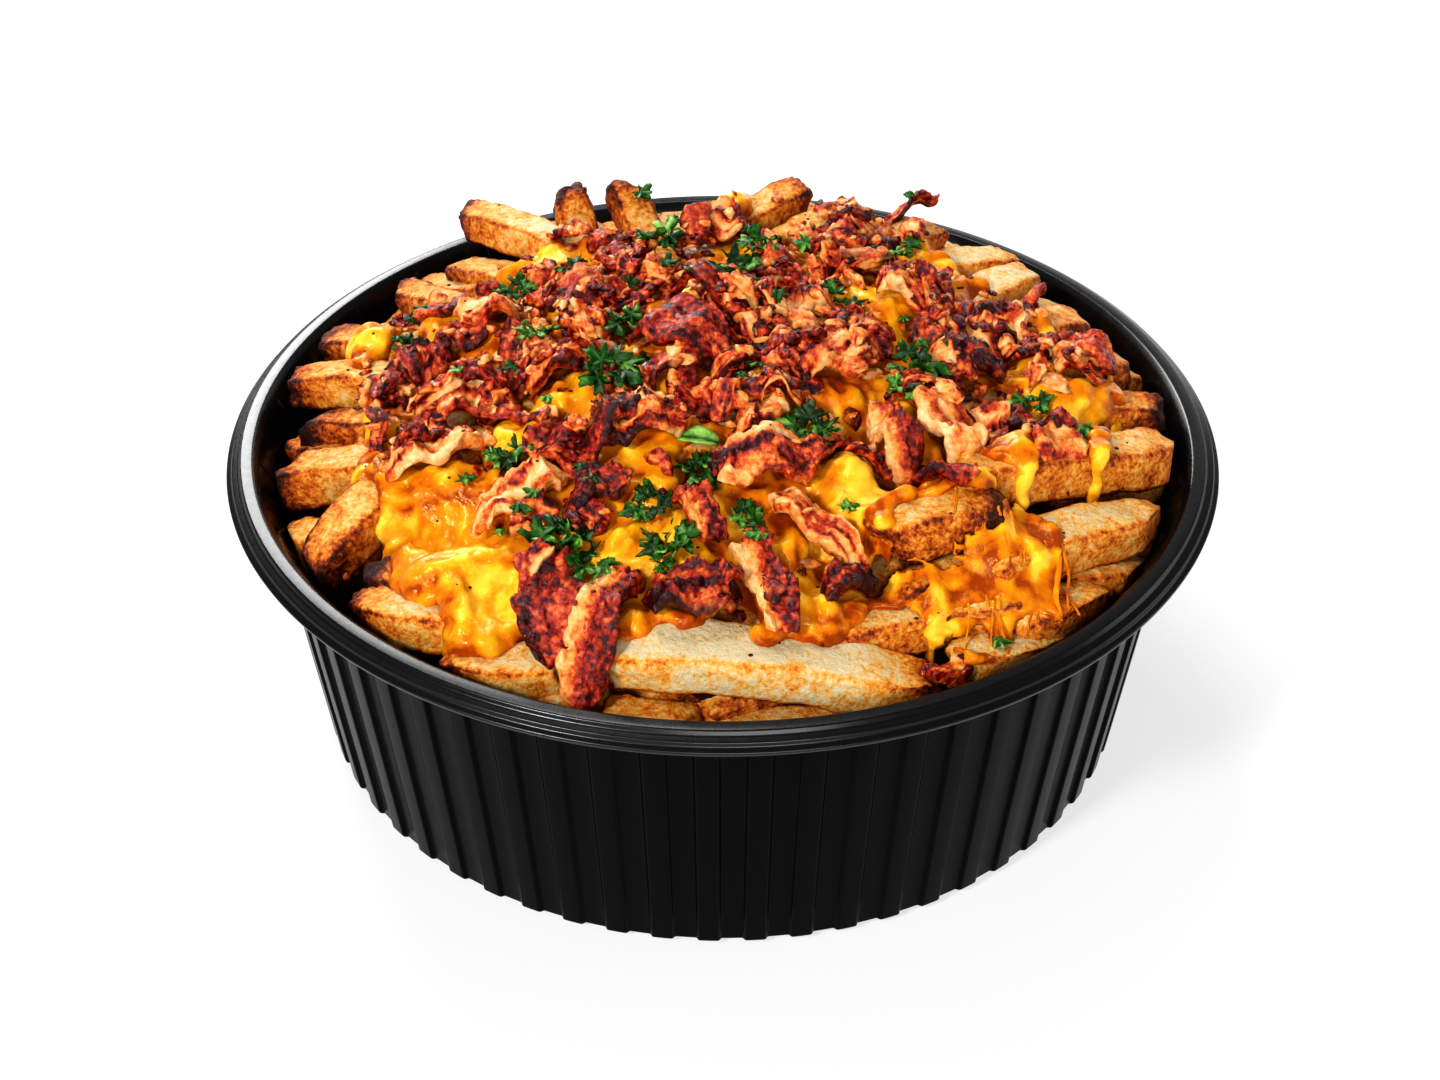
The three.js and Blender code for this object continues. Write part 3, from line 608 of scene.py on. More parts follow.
def fried_bacon(settings):
    """Fried streaky bacon: red lean and amber fat in streaks, greasy granules with painted shade in the
    creases between them, and charred edges.
    """
    material, tree, place = new_material("Fried streaky bacon")
    fibres = add_node(tree, "TexNoise", {
        "Vector": place, "Scale": 1 / (1.3 * MM), "Detail": 5.0, "Roughness": 0.7})
    patches = add_node(tree, "TexNoise", {"Vector": place, "Scale": 1 / (3.5 * MM), "Detail": 3.0})
    warped = add_node(tree, "VectorMath", {
        0: fibres.outputs["Color"], 1: (1.6 * MM, 1.6 * MM, 1.6 * MM), 2: place}, operation="MULTIPLY_ADD")
    granules = add_node(tree, "TexVoronoi", {"Vector": warped, "Scale": 1 / (1.3 * MM)})
    fat = add_node(tree, "Attribute", attribute_name="fat").outputs["Fac"]
    char = add_node(tree, "Attribute", attribute_name="char").outputs["Fac"]
    # The colour darkens towards the edge of each granule: painted shade in the creases between the granules.
    fat_with_crease_shade = add_node(tree, "Math", {0: granules, 1: -0.32, 2: fat}, operation="MULTIPLY_ADD")
    streak_and_crease_shade = varied(tree, fat_with_crease_shade, (fibres, 1.15, -0.48))
    cut = add_node(tree, "ValToRGB", {"Fac": streak_and_crease_shade}, stops=[
        (0.0, colour("#360508")), (0.15, settings.lean[:]), (0.3, colour("#C04A22")),
        (0.45, colour("#E08038")), (0.62, colour("#E8A45A")), (0.8, settings.fat[:]),
        (1.0, colour("#F4CE98"))])
    burnt = varied(tree, char, (patches, 1.8, -0.95))
    share = add_node(tree, "MapRange", {"Value": burnt, "From Min": 0.3, "From Max": 0.9, "To Max": 0.8})
    browned = add_node(tree, "Mix", {
        MIX_FACTOR: share, MIX_A: cut, MIX_B: settings.charred[:]}, data_type="RGBA")
    height = add_node(tree, "Math", {0: granules, 1: -0.8, 2: fibres}, operation="MULTIPLY_ADD")
    relief = add_node(tree, "Bump", {"Height": height, "Strength": 0.6, "Distance": 0.7 * MM})
    greasy = add_node(tree, "MapRange", {"Value": patches, "To Min": 0.06, "To Max": 0.26})
    surface = add_node(tree, "BsdfPrincipled", {
        "Base Color": browned.outputs[MIX_RESULT], "Roughness": greasy, "IOR": 1.47,
        "Subsurface Weight": 0.2, "Subsurface Radius": (1.0, 0.35, 0.2), "Subsurface Scale": 1.2 * MM,
        "Normal": relief})
    close_material(tree, surface)
    return material


def fresh_parsley(settings):
    """Fresh parsley: thin green leaf with a waxy sheen and paler folds."""
    material, tree, place = new_material("Fresh parsley")
    veins = add_node(tree, "TexNoise", {
        "Vector": place, "Scale": 1 / (1.3 * MM), "Detail": 4.0, "Roughness": 0.65})
    fold = add_node(tree, "Attribute", attribute_name="fold").outputs["Fac"]
    amount = add_node(tree, "Math", {0: veins, 1: 1.1, 2: fold}, operation="MULTIPLY_ADD")
    tint = add_node(tree, "ValToRGB", {"Fac": amount}, stops=[
        (0.2, colour("#14360A")), (0.55, settings.dark[:]), (1.0, settings.light[:])])
    relief = add_node(tree, "Bump", {"Height": veins, "Strength": 0.6, "Distance": 0.4 * MM})
    surface = add_node(tree, "BsdfPrincipled", {
        "Base Color": tint, "Roughness": 0.38, "IOR": 1.42, "Subsurface Weight": 0.1,
        "Subsurface Radius": (0.3, 1.0, 0.2), "Subsurface Scale": 0.6 * MM, "Normal": relief})
    close_material(tree, surface)
    return material


def cracked_pepper():
    """Cracked black pepper: dull, almost black specks."""
    material, tree, place = new_material("Cracked pepper")
    husk = add_node(tree, "TexNoise", {"Vector": place, "Scale": 1 / (0.4 * MM), "Detail": 2.0})
    tint = add_node(tree, "ValToRGB", {"Fac": husk}, stops=[
        (0.35, colour("#120A06")), (0.75, colour("#4A2E1A"))])
    surface = add_node(tree, "BsdfPrincipled", {"Base Color": tint, "Roughness": 0.7})
    close_material(tree, surface)
    return material


def smooth_share(value, low, high):
    """0 below low, 1 above high, and a smooth rise between them."""
    share = np.clip((value - low) / (high - low), 0, 1)
    return share * share * (3 - 2 * share)


def billows(points, size, seed=0.0):
    """Noise that rises in round blisters with creases between them, from 0 to about 1."""
    return np.minimum(np.abs(noise_at(points, size, seed)) * 2.2, 1)


def kept_inside(points, gap=0.5):
    """The points, with those in or beyond the bowl's wall moved in to a small gap before it."""
    radius = np.hypot(points[:, 0], points[:, 1])
    inner = wall_radius(np.minimum(points[:, 2], UNDER_FLANGE)) - WALL - gap
    shrink = np.minimum(1, inner / np.maximum(radius, 1e-6))
    points[:, 0] *= shrink
    points[:, 1] *= shrink
    return points


class FOOD_OT_bowl(bpy.types.Operator):
    """Spins the ribbed plastic bowl from its section"""
    bl_idname = "food.bowl"
    bl_label = "Bowl"

    # Radius and height of the section's corners: the underside and the foot ring, from the middle out
    FOOT = [(0, 1.2), (58, 1.2), (60, 0), (76, 0)]
    # The flange and the stepped rim, from the wall's outer face to its inner one
    RIM = [
        (92.1, UNDER_FLANGE), (92.5, 56.9), (91.4, 57.4), (91.4, 58.2), (90.1, 58.5), (89.7, RIM_HEIGHT),
        (87.4, RIM_HEIGHT), (86.4, 58.4),
    ]
    # The floor's height inside, and how far it ends before the wall
    FLOOR_TOP = 2.4
    FLOOR_CORNER = 3.2
    # Across a rib and the hollow beside it: shares of the pitch, and how much of the rib's height they reach
    RIB_PLACES = (0, 0.2, 0.4, 0.43, 0.455, 0.475, 0.5, 0.53, 0.7, 0.87, 0.9, 0.925, 0.945, 0.97, 0.985)
    RIB_HEIGHTS = (0, 0, 0, 0.1, 0.45, 0.8, 0.97, 1, 1, 1, 0.97, 0.8, 0.45, 0.1, 0.02)
    # Points this near to the wall's outer or inner face move with its ribs, the inner ones by a share
    OUTER_SKIN = 0.5
    INNER_SKIN = 0.3
    INNER_SHARE = 0.5

    def section(self):
        """The bowl's section, from the middle of its underside round the rim to the middle of its floor."""
        inner_foot = wall_radius(INSIDE_CORNER) - WALL
        return [
            *self.FOOT, (WALL_FOOT_RADIUS, FOOT_HEIGHT), (WALL_TOP_RADIUS, UNDER_FLANGE), *self.RIM,
            (wall_radius(INSIDE_TOP) - WALL, INSIDE_TOP), (inner_foot, INSIDE_CORNER),
            (inner_foot - self.FLOOR_CORNER, self.FLOOR_TOP), (0, self.FLOOR_TOP),
        ]

    def raise_ribs(self, bm, steps, depth):
        """Spreads the spun steps over each rib's section, and moves the wall out at the ribs."""
        per_rib = len(self.RIB_PLACES)
        for vert in bm.verts:
            radius = math.hypot(vert.co.x, vert.co.y)
            if radius < 1:
                continue
            step = round(math.atan2(vert.co.y, vert.co.x) / math.tau * steps)
            place, height = self.RIB_PLACES[step % per_rib], self.RIB_HEIGHTS[step % per_rib]
            turn = (step // per_rib + place) * math.tau * per_rib / steps
            gap = wall_radius(vert.co.z) - radius
            low, high = FOOT_HEIGHT - 0.6, UNDER_FLANGE + 0.01
            outside = gap < self.OUTER_SKIN and low < vert.co.z < high and radius < WALL_TOP_RADIUS + 0.2
            inside = abs(gap - WALL) < self.INNER_SKIN and INSIDE_CORNER < vert.co.z < INSIDE_TOP + 0.3
            if outside or inside:
                radius += depth * height * (1 if outside else self.INNER_SHARE)
            vert.co.x, vert.co.y = polar(turn, radius)

    def execute(self, context):
        settings = context.scene.bowl_settings
        steps = settings.rib_count * len(self.RIB_PLACES)
        bm = new_shape("polish")
        spun(bm, self.section(), steps, settings.edge / MM)
        self.raise_ribs(bm, steps, settings.rib_depth / MM)
        polish = bm.verts.layers.float["polish"]
        for vert in bm.verts:
            outside = math.hypot(vert.co.x, vert.co.y) > WALL_TOP_RADIUS - 0.5
            vert[polish] = float(vert.co.z > (UNDER_FLANGE - 0.1 if outside else INSIDE_TOP + 0.4))
        finish_piece(bm, "bowl_shell", moulded_plastic(settings), ["bowl"], sharp=32)
        return {"FINISHED"}


class FOOD_OT_fries(bpy.types.Operator):
    """Heaps cut fries over a core that fills the bowl"""
    bl_idname = "food.fries"
    bl_label = "Fries"

    # The mesh of a fry: steps along it, and the places across its section
    SHOWN_STEPS = 38
    SECTION = (-1, -0.9, -0.76, -0.56, -0.2, 0.2, 0.56, 0.76, 0.9, 1)
    BURIED_STEPS = 11
    BURIED_SECTION = (-1, -0.84, -0.5, 0.5, 0.84, 1)
    # A fry's rounded corners, the least and most of its tapers and of the slants of its ends sideways and
    # up, and the most that it twists in degrees and sways
    CORNER = 1.8
    TIP_TAPER = (0.14, 0.48)
    INNER_TAPER = (0.1, 0.35)
    SLANT = (-0.6, 0.6)
    SLOPE = (-0.5, 0.5)
    TWIST = 9
    SWAY = 1.3
    # How far the browning of an end reaches
    CRISP_REACH = 5.5
    # The tip of the fry that lies in front, and how much paler its colour is made than the others
    PALEST = (-20, -71, 60)
    PALER = 0.8
    # The buried fries: how far out their middles and ends lie, half lengths, depths, widths and browning
    MIDDLES_WITHIN = 74
    ENDS_WITHIN = 77
    BURIED_HALF = (14, 27)
    BURIED_DEPTH = (4.5, 10)
    BURIED_WIDTH = (7.5, 10)
    BURIED_BROWN = (0.2, 0.8)
    # The core: radius and height up its side, the radii over its top, its lumps, and its browning, which
    # darkens it as painted shade
    CORE_SIDE = [(0, 3.2), (70, 3.2), (75, 9), (77, 40), (73, 48)]
    CORE_TOP = (68, 62, 55, 48, 40, 32, 24, 16, 8, 0)
    CORE_STEPS = 96
    CORE_LUMPS = 1.6
    CORE_BROWN_AS_SHADE = 0.6
    SEED = 11

    def fry(self, points, row, seed, relief, rng):
        """A fry's points and its browning, darker on its sides and underside as painted shade: a rounded
        stick with slanted ends, blisters and a bend.
        """
        tip, inner, width, height, bow, tip_brown, inner_brown = row
        start, along = Vector(tip), Vector(inner) - Vector(tip)
        length = along.length
        along.normalize()
        side = Vector((0, 0, 1)).cross(along).normalized()
        up = along.cross(side)
        half = np.array((length, width, height)) / 2
        box = points * half
        kept = np.clip(box, -(half - self.CORNER), half - self.CORNER)
        outward = box - kept
        outward = outward / np.maximum(np.linalg.norm(outward, axis=1), 1e-6)[:, None]
        shape = kept + outward * self.CORNER
        share, across, over = points.T
        ends = np.abs(share) ** 3
        taper = np.where(share < 0, rng.uniform(*self.TIP_TAPER), rng.uniform(*self.INNER_TAPER))
        line = as_points(share * length / 2)
        slim = 1 - taper * ends + 0.07 * noise_at(line, 11, seed)
        dished = 1 - 0.06 * (1 - np.abs(share)) * (1 - across ** 2) * (np.abs(over) > 0.99)
        shape[:, 1] *= slim
        shape[:, 2] *= slim * dished
        slant = np.where(share < 0, rng.uniform(*self.SLANT), rng.uniform(*self.SLANT))
        slope = np.where(share < 0, rng.uniform(*self.SLOPE), rng.uniform(*self.SLOPE))
        ragged = 1.6 * noise_at(shape, 2.8, seed + 9)
        shape[:, 0] += ends * (slant * shape[:, 1] + slope * shape[:, 2] + ragged)
        shape[:, 1] += 0.5 * noise_at(line + over[:, None] * 3, 8, seed + 11)
        shape[:, 2] += 0.5 * noise_at(line + across[:, None] * 3, 8, seed + 13)
        twist = math.radians(rng.uniform(-self.TWIST, self.TWIST)) * share
        turned = shape[:, 1] * np.cos(twist) - shape[:, 2] * np.sin(twist)
        lifted = shape[:, 1] * np.sin(twist) + shape[:, 2] * np.cos(twist)
        bend = 1 - share ** 2
        turned = turned + rng.uniform(-self.SWAY, self.SWAY) * bend + 0.5 * noise_at(line, 14, seed + 1)
        lifted = lifted + bow * bend
        tip_gap = (share + 1) * length / 2
        crisp = tip_brown * np.exp(-tip_gap / self.CRISP_REACH)
        crisp = crisp + inner_brown * np.exp(-(length - tip_gap) / self.CRISP_REACH)
        blisters = noise_at(shape, 4.5, seed) + 0.6 * noise_at(shape, 2, seed + 3)
        crackle = billows(shape, 2.2, seed + 7) - 0.4
        rise = relief * (blisters + 1.3 * crackle * (0.4 + 1.8 * crisp))
        axes = np.array((along, side, up))
        local = as_points(shape[:, 0], turned, lifted) + outward * rise[:, None]
        placed = np.array(start + along * (length / 2)) + local @ axes
        facing = (outward @ axes)[:, 2]
        edge = smooth_share(np.abs(across), 0.6, 1) * smooth_share(np.abs(over), 0.6, 1)
        # Faces turned away from the top, and most of all those facing down, get more brown: painted shade on
        # the sides and underside.
        painted_side_shade = 0.22 * (1 - np.clip(facing, 0, 1)) + 0.3 * smooth_share(-facing, 0.1, 0.7)
        patchy = 0.12 * noise_at(shape, 7, seed + 5)
        brown = 0.36 * edge + 1.1 * crisp + painted_side_shade + patchy + 0.1 * np.clip(blisters, 0, 1) + 0.12
        return kept_inside(placed), np.clip(brown, 0, 1)

    def add_fries(self, name, rows, grid, settings, material, nodes=()):
        steps, section = grid
        stations = np.sin(np.linspace(-1.35, 1.35, steps + 1)) / math.sin(1.35)
        template, points = box_grid(stations, section, section)
        rng = random.Random(self.SEED + steps)
        bm = new_shape("brown", "tone")
        for i, row in enumerate(rows):
            placed, brown = self.fry(points, row, i * 1.37 + steps, settings.relief / MM, rng)
            tone = rng.uniform(-0.6, 0.6) - (self.PALER if row[0] == self.PALEST else 0)
            add_shape(bm, template, placed, brown=brown, tone=np.full(len(brown), tone))
        bpy.data.meshes.remove(template)
        return finish_piece(bm, name, material, nodes)

    def buried(self, count):
        """Rows for the fries under the shown ones: straight chords below the mound's surface."""
        rng = random.Random(self.SEED)
        rows = []
        while len(rows) < count:
            middle = Vector(polar(rng.uniform(0, math.tau), self.MIDDLES_WITHIN * math.sqrt(rng.random())))
            heading, half = rng.uniform(0, math.tau), rng.uniform(*self.BURIED_HALF)
            step = Vector(polar(heading, 1)) * half
            ends = (middle - step, middle + step)
            depth = rng.uniform(*self.BURIED_DEPTH)
            if max(end.length for end in ends) < self.ENDS_WITHIN:
                places = [(end.x, end.y, RIM_HEIGHT + float(mound(end.x, end.y)) - depth) for end in ends]
                size = rng.uniform(*self.BURIED_WIDTH)
                brown = [rng.uniform(*self.BURIED_BROWN) for _ in ends]
                rows.append((*places, size, size - 0.7, 0.5, *brown))
        return rows

    def add_core(self, material):
        """The heap's middle, browned and darkened as painted shade, which shows only deep between the fries.
        """
        bm = new_shape("brown", "tone")
        spun(bm, self.CORE_SIDE + [(radius, RIM_HEIGHT) for radius in self.CORE_TOP], self.CORE_STEPS)
        points = points_of(bm.verts)
        raised = points[:, 2] > RIM_HEIGHT - 0.1
        lumps = self.CORE_LUMPS * noise_at(points, 9)
        points[:, 2] += np.where(raised, mound(points[:, 0], points[:, 1]) - CORE_DEPTH + lumps, 0)
        move_points(bm, points)
        brown = bm.verts.layers.float["brown"]
        for vert in bm.verts:
            vert[brown] = self.CORE_BROWN_AS_SHADE
        finish_piece(bm, "fries_core", material)

    def execute(self, context):
        settings = context.scene.fries_settings
        material = fried_potato(settings)
        # The core's potato is a copy at half the brightness: painted shade deep in the heap.
        self.add_core(fried_potato(settings, "Fried potato in painted shade", 0.5))
        buried, shown = (self.BURIED_STEPS, self.BURIED_SECTION), (self.SHOWN_STEPS, self.SECTION)
        self.add_fries("fries_buried", self.buried(settings.fillers), buried, settings, material)
        self.add_fries("fries_shown", FRIES, shown, settings, material, ["fries"])
        return {"FINISHED"}


def cheese_reach(x, y):
    """How far out the cheese lies in the direction of each point."""
    turn = np.arctan2(y, x)
    count = len(CHEESE_REACH)
    reach = np.array(CHEESE_REACH, float)
    place = (turn / math.tau * count + count) % count
    lower = np.floor(place).astype(int) % count
    share = smooth_share(place - np.floor(place), 0, 1)
    return reach[lower] * (1 - share) + reach[(lower + 1) % count] * share + 1.8 * np.sin(9 * turn)


class FOOD_OT_cheese(bpy.types.Operator):
    """Melts a blanket of cheese over the fries, with thicker pools, tongues and fine threads"""
    bl_idname = "food.cheese"
    bl_label = "Cheese"

    # Tongues of cheese that run down over the fries: the places along each one, and its half width there
    TONGUES = [
        [(53, -30, 1.9), (52.8, -35, 1.9), (50.8, -39, 1.3), (50.3, -43, 1.1), (50.6, -46, 1.3),
         (52, -50, 1.6), (54.5, -53, 1.8)],
        [(51, -42, 1.0), (54, -43, 1.5), (56.3, -46, 1.9), (56.6, -50, 1.5), (56.5, -53, 0.9)],
        [(50.3, -44, 1.1), (47.5, -51, 1.1), (46, -55, 1.3)],
        [(36, -59, 2.4), (35.3, -62, 1.9), (34.6, -65, 1.5), (36, -68, 1.3)],
        [(34.5, -66, 1.2), (40, -69.5, 1.0), (47, -69.5, 0.7)],
        [(36, -68, 1.2), (41, -71, 1.0), (46, -71.5, 0.7)],
        [(67, -18, 2.0), (67, -23, 2.8), (66, -27.5, 2.7), (65.5, -29.8, 2.2), (65.3, -31.6, 1.3)],
        [(24, -44, 2.6), (25.5, -49, 2.0), (27, -53, 2.2)],
        [(21, -45, 1.8), (21.5, -49, 1.2), (22, -53, 1.6)],
    ]
    # Fine threads of cheese: the two places that one joins, and its radius
    THREADS = [
        ((56.5, -50), (56.3, -62), 0.6), ((58, -49), (58.5, -60), 0.3), ((46, -59), (47, -68), 0.5),
        ((45, -60), (44.5, -67), 0.3), ((65.4, -31), (65.3, -36), 0.25), ((52, -56), (51, -63), 0.25),
        ((41, -61), (40, -68), 0.25), ((55, -52), (55.5, -59), 0.3),
    ]
    # More threads, drawn at random: their number, and the least and most of their starts, falls and radius
    MORE_THREADS = 18
    STARTS_X, STARTS_Y = (38, 58), (-58, -44)
    FALLS_X, FALLS_Y = (-3, 3), (-9, -4)
    THREAD_RADIUS = (0.18, 0.42)
    # Places that the cheese leaves bare: centre x and y, and radius
    GAPS = [
        (47, -47, 4), (42, -48.5, 5), (36, -50.5, 5), (31, -52, 3.5), (66, -30, 6), (64, -40, 5),
        (26, -66, 4), (-28, -34, 3), (2, -66, 4), (54, 22, 6), (-55, -4, 5), (-58, 27, 5), (15, 55, 7),
        (11, 49, 5),
    ]
    # Where the cheese is pulled into a thin web that hangs from fry to fry: centre x and y, and radius
    WEB = [
        (50, -42, 3), (52, -48, 5.5), (56, -49, 4.5), (53, -54, 6), (47, -56, 6.5), (41, -58, 6),
        (35, -58.5, 6), (29, -58, 5.5), (56, -59, 3.5), (46, -62, 3.5), (35, -63.5, 4),
    ]
    # How wide the border's rounding is, and how deep the sheet and the web go under their tops
    EDGE = 2.6
    UNDER = 3.2
    WEB_UNDER = 0.9
    # How much of the web hangs free of the fries
    HANGING = 0.6
    # The spacing and the flatness of the beads that a tongue is made of
    BEAD_STEP = 0.6
    BEAD_FLAT = 0.6
    # How often the melted skin is smoothed, and below which upward share of its normal it counts as steep
    SMOOTHING = 3
    STEEP = 0.45
    SEED = 17

    def thickness_at(self, x, y, settings):
        """How far inside its border the cheese is at each point, and its thickness, with a round edge."""
        flat = as_points(x, y)
        lobes = 6 * noise_at(flat, 10, 2) + 3 * noise_at(flat, 4.5, 4)
        inside = cheese_reach(x, y) - np.hypot(x, y) + lobes
        holes = 8 * (0.36 - noise_at(flat, 12, 8))
        inside = np.minimum(inside, holes)
        ropes = np.clip(1 - 3.4 * np.abs(noise_at(flat, 8, 5)), 0, 1)
        strings = np.clip(1 - 3 * np.abs(noise_at(flat, 4.6, 9)), 0, 1)
        body = settings.thickness / MM * (1 + 0.7 * noise_at(flat, 9, 6)) + 1.1 * ropes + 0.7 * strings
        for px, py, radius, extra in CHEESE_POOLS:
            near = np.hypot(x - px, y - py) / radius
            body += extra * np.exp(-1.5 * near ** 4)
            inside = np.maximum(inside, (0.9 - near) * radius)
        for gx, gy, radius in self.GAPS:
            inside = np.minimum(inside, np.hypot(x - gx, y - gy) - radius + 0.3 * lobes)
        web, core = self.web_at(x, y)
        fibres = self.fibres_at(x, y)
        inside = np.where(web > 0, np.minimum(6 * web, 5 * (fibres + 0.25 + 0.9 * core)), inside)
        body = body * (1 - web) + (0.5 + 0.9 * np.clip(fibres, 0, 1)) * web
        round_edge = np.clip(inside / self.EDGE, 0, 1)
        return inside, np.maximum(body, 0.4) * np.sqrt(1 - (1 - round_edge) ** 2)

    def web_at(self, x, y):
        """How far each point lies in the pulled web: 1 inside it, and a share that grows to its middle."""
        core = np.zeros(len(x))
        for wx, wy, radius in self.WEB:
            core = np.maximum(core, 1 - np.hypot(x - wx, y - wy) / radius)
        return np.clip(3 * core, 0, 1), core

    def fibres_at(self, x, y):
        """The web's fibres, which run down the heap's side."""
        return noise_at(as_points(x / 1.8 + y / 8, y / 8), 1.0, 12)

    def add_sheet(self, bm, bed, settings):
        """The blanket: a grid dropped on the fries, cut at the cheese's border, and given an underside."""
        closed = widened(widened(bed.heights, 2), 2, largest=False)
        draped = np.maximum(blurred(closed, 1.3), blurred(bed.heights, 0.8) - 0.5)
        pulled = blurred(widened(widened(bed.heights, 5), 5, largest=False), 1.2)
        cells = int(2.4 * bed.REACH)
        bmesh.ops.create_grid(bm, x_segments=cells, y_segments=cells, size=bed.REACH)
        points = points_of(bm.verts)
        x, y = points[:, 0], points[:, 1]
        inside, thick = self.thickness_at(x, y, settings)
        web = self.web_at(x, y)[0]
        lying, hanging = bed.at(x, y, draped), bed.at(x, y, pulled)
        points[:, 2] = lying * (1 - self.HANGING * web) + hanging * self.HANGING * web + thick
        move_points(bm, points)
        outside = [vert for vert, depth in zip(bm.verts, inside) if depth <= 0]
        bmesh.ops.delete(bm, geom=outside, context="VERTS")
        lowered = bmesh.ops.extrude_face_region(bm, geom=bm.faces[:], use_keep_orig=True)
        under = [vert for vert in lowered["geom"] if isinstance(vert, bmesh.types.BMVert)]
        places = points_of(under)
        drops = self.UNDER + (self.WEB_UNDER - self.UNDER) * self.web_at(places[:, 0], places[:, 1])[0]
        for vert, drop in zip(under, drops.tolist()):
            vert.co.z -= drop
        bmesh.ops.recalc_face_normals(bm, faces=bm.faces)

    def add_tongue(self, bm, bed, places):
        """A flat tongue of cheese: beads along its line, which rests on the fries or hangs between them."""
        for (x1, y1, r1), (x2, y2, r2) in zip(places, places[1:]):
            start, end = Vector((x1, y1, float(bed.at(x1, y1)))), Vector((x2, y2, float(bed.at(x2, y2))))
            beads = max(2, int((end - start).length / self.BEAD_STEP))
            for i in range(beads):
                share = i / beads
                point, size = start.lerp(end, share), r1 + (r2 - r1) * share
                point.z = max(point.z, float(bed.at(point.x, point.y)) - 0.5) + 0.3 * size
                shape = Matrix.Translation(point) @ Matrix.Diagonal((1, 1, self.BEAD_FLAT, 1))
                bmesh.ops.create_icosphere(bm, subdivisions=1, radius=size, matrix=shape)

    def thread(self, share, ring, row, seed, bed):
        """A thread's points: pulled from one fry to the next, thinnest at its lower end, its ends sunk in."""
        (x1, y1), (x2, y2), radius = row
        length = math.hypot(x2 - x1, y2 - y1)
        line = as_points(share * length)
        x = x1 + (x2 - x1) * share + 0.8 * noise_at(line, 5, seed * 0.9)
        y = y1 + (y2 - y1) * share + 0.8 * noise_at(line, 6, seed * 1.7)
        start, end = float(bed.at(x1, y1)) + 0.3, float(bed.at(x2, y2)) - 0.2
        hanging = start + (end - start) * share - 2 * share * (1 - share)
        sunk = np.abs(2 * share - 1) ** 6
        z = np.maximum(hanging, bed.at(x, y) + radius * (0.4 - 1.6 * sunk))
        size = radius * (1.1 - 0.5 * share + 0.2 * noise_at(line, 2, seed))
        side = np.array((y2 - y1, x1 - x2, 0)) / length
        placed = as_points(x, y, z) + side * (ring[:, :1] * size[:, None])
        placed[:, 2] += ring[:, 1] * size
        return placed

    def add_threads(self, material, bed):
        """The fine threads, those with a place of their own and the random ones."""
        rng = random.Random(self.SEED)
        rows = list(self.THREADS)
        for _ in range(self.MORE_THREADS):
            x, y = rng.uniform(*self.STARTS_X), rng.uniform(*self.STARTS_Y)
            dx, dy = rng.uniform(*self.FALLS_X), rng.uniform(*self.FALLS_Y)
            rows.append(((x, y), (x + dx, y + dy), rng.uniform(*self.THREAD_RADIUS)))
        template, points = box_grid(np.linspace(-1, 1, 33), (-1, 0, 1), (-1, 0, 1))
        share = (points[:, 0] + 1) / 2
        ring = points[:, 1:] / np.maximum(np.linalg.norm(points[:, 1:], axis=1), 0.7)[:, None]
        bm = new_shape("depth")
        for i, row in enumerate(rows):
            placed = self.thread(share, ring, row, i, bed)
            add_shape(bm, template, placed, depth=np.full(len(share), rng.uniform(0.05, 0.5)))
        bpy.data.meshes.remove(template)
        bmesh.ops.recalc_face_normals(bm, faces=bm.faces)
        finish_piece(bm, "cheese_threads", material)

    def melted_together(self, bm, grain):
        """The sheet and the tongues made into one closed skin."""
        rough = as_mesh(bm, "cheese_rough")
        holder = add_object("cheese_rough", rough)
        remesh = holder.modifiers.new("Melt", "REMESH")
        remesh.mode = "VOXEL"
        remesh.voxel_size = grain
        depsgraph = bpy.context.evaluated_depsgraph_get()
        melted = bpy.data.meshes.new_from_object(holder.evaluated_get(depsgraph))
        skin = new_shape()
        skin.from_mesh(melted)
        bpy.data.objects.remove(holder)
        bpy.data.meshes.remove(rough)
        bpy.data.meshes.remove(melted)
        return skin

    def execute(self, context):
        settings = context.scene.cheese_settings
        bed = HeightMap(["fries_core", "fries_buried", "fries_shown"])
        bm = new_shape()
        self.add_sheet(bm, bed, settings)
        for places in self.TONGUES:
            self.add_tongue(bm, bed, places)
        bm = self.melted_together(bm, settings.grain / MM)
        smoothed(bm, bm.verts, self.SMOOTHING)
        steep = [vert for vert, normal in zip(bm.verts, normals_of(bm)) if abs(normal[2]) < self.STEEP]
        smoothed(bm, steep, 2 * self.SMOOTHING)
        layer = bm.verts.layers.float.new("depth")
        points = points_of(bm.verts)
        x, y, z = points.T
        lumps = 0.6 * noise_at(points, 5.5, 1) + 0.9 * noise_at(points, 2.9, 4)
        lumps = lumps + 0.6 * billows(points, 4.2, 7) - 0.2
        web = self.web_at(x, y)[0]
        # Thicker cheese is yellower. The lumps also make it paler on their tops as painted highlight, and
        # more orange in their creases as painted shade.
        thick_and_crease_shade = (z - bed.at(x, y)) / 7 + 0.45 * lumps
        depth = thick_and_crease_shade + web * (0.1 + 0.6 * self.fibres_at(x, y))
        for vert, value in zip(bm.verts, np.clip(depth, 0, 1).tolist()):
            vert[layer] = value
        flow = as_points(np.arctan2(y, x) * 40, np.hypot(x, y) / 4, z / 4)
        ripple = (1 - 0.8 * web) * lumps + 0.12 * noise_at(points, 1.9, 2) + 0.25 * noise_at(flow, 1.5, 3)
        move_points(bm, kept_inside(points + normals_of(bm) * ripple[:, None]))
        material = melted_cheese(settings)
        finish_piece(bm, "cheese_melt", material, ["cheese"])
        self.add_threads(material, bed)
        return {"FINISHED"}


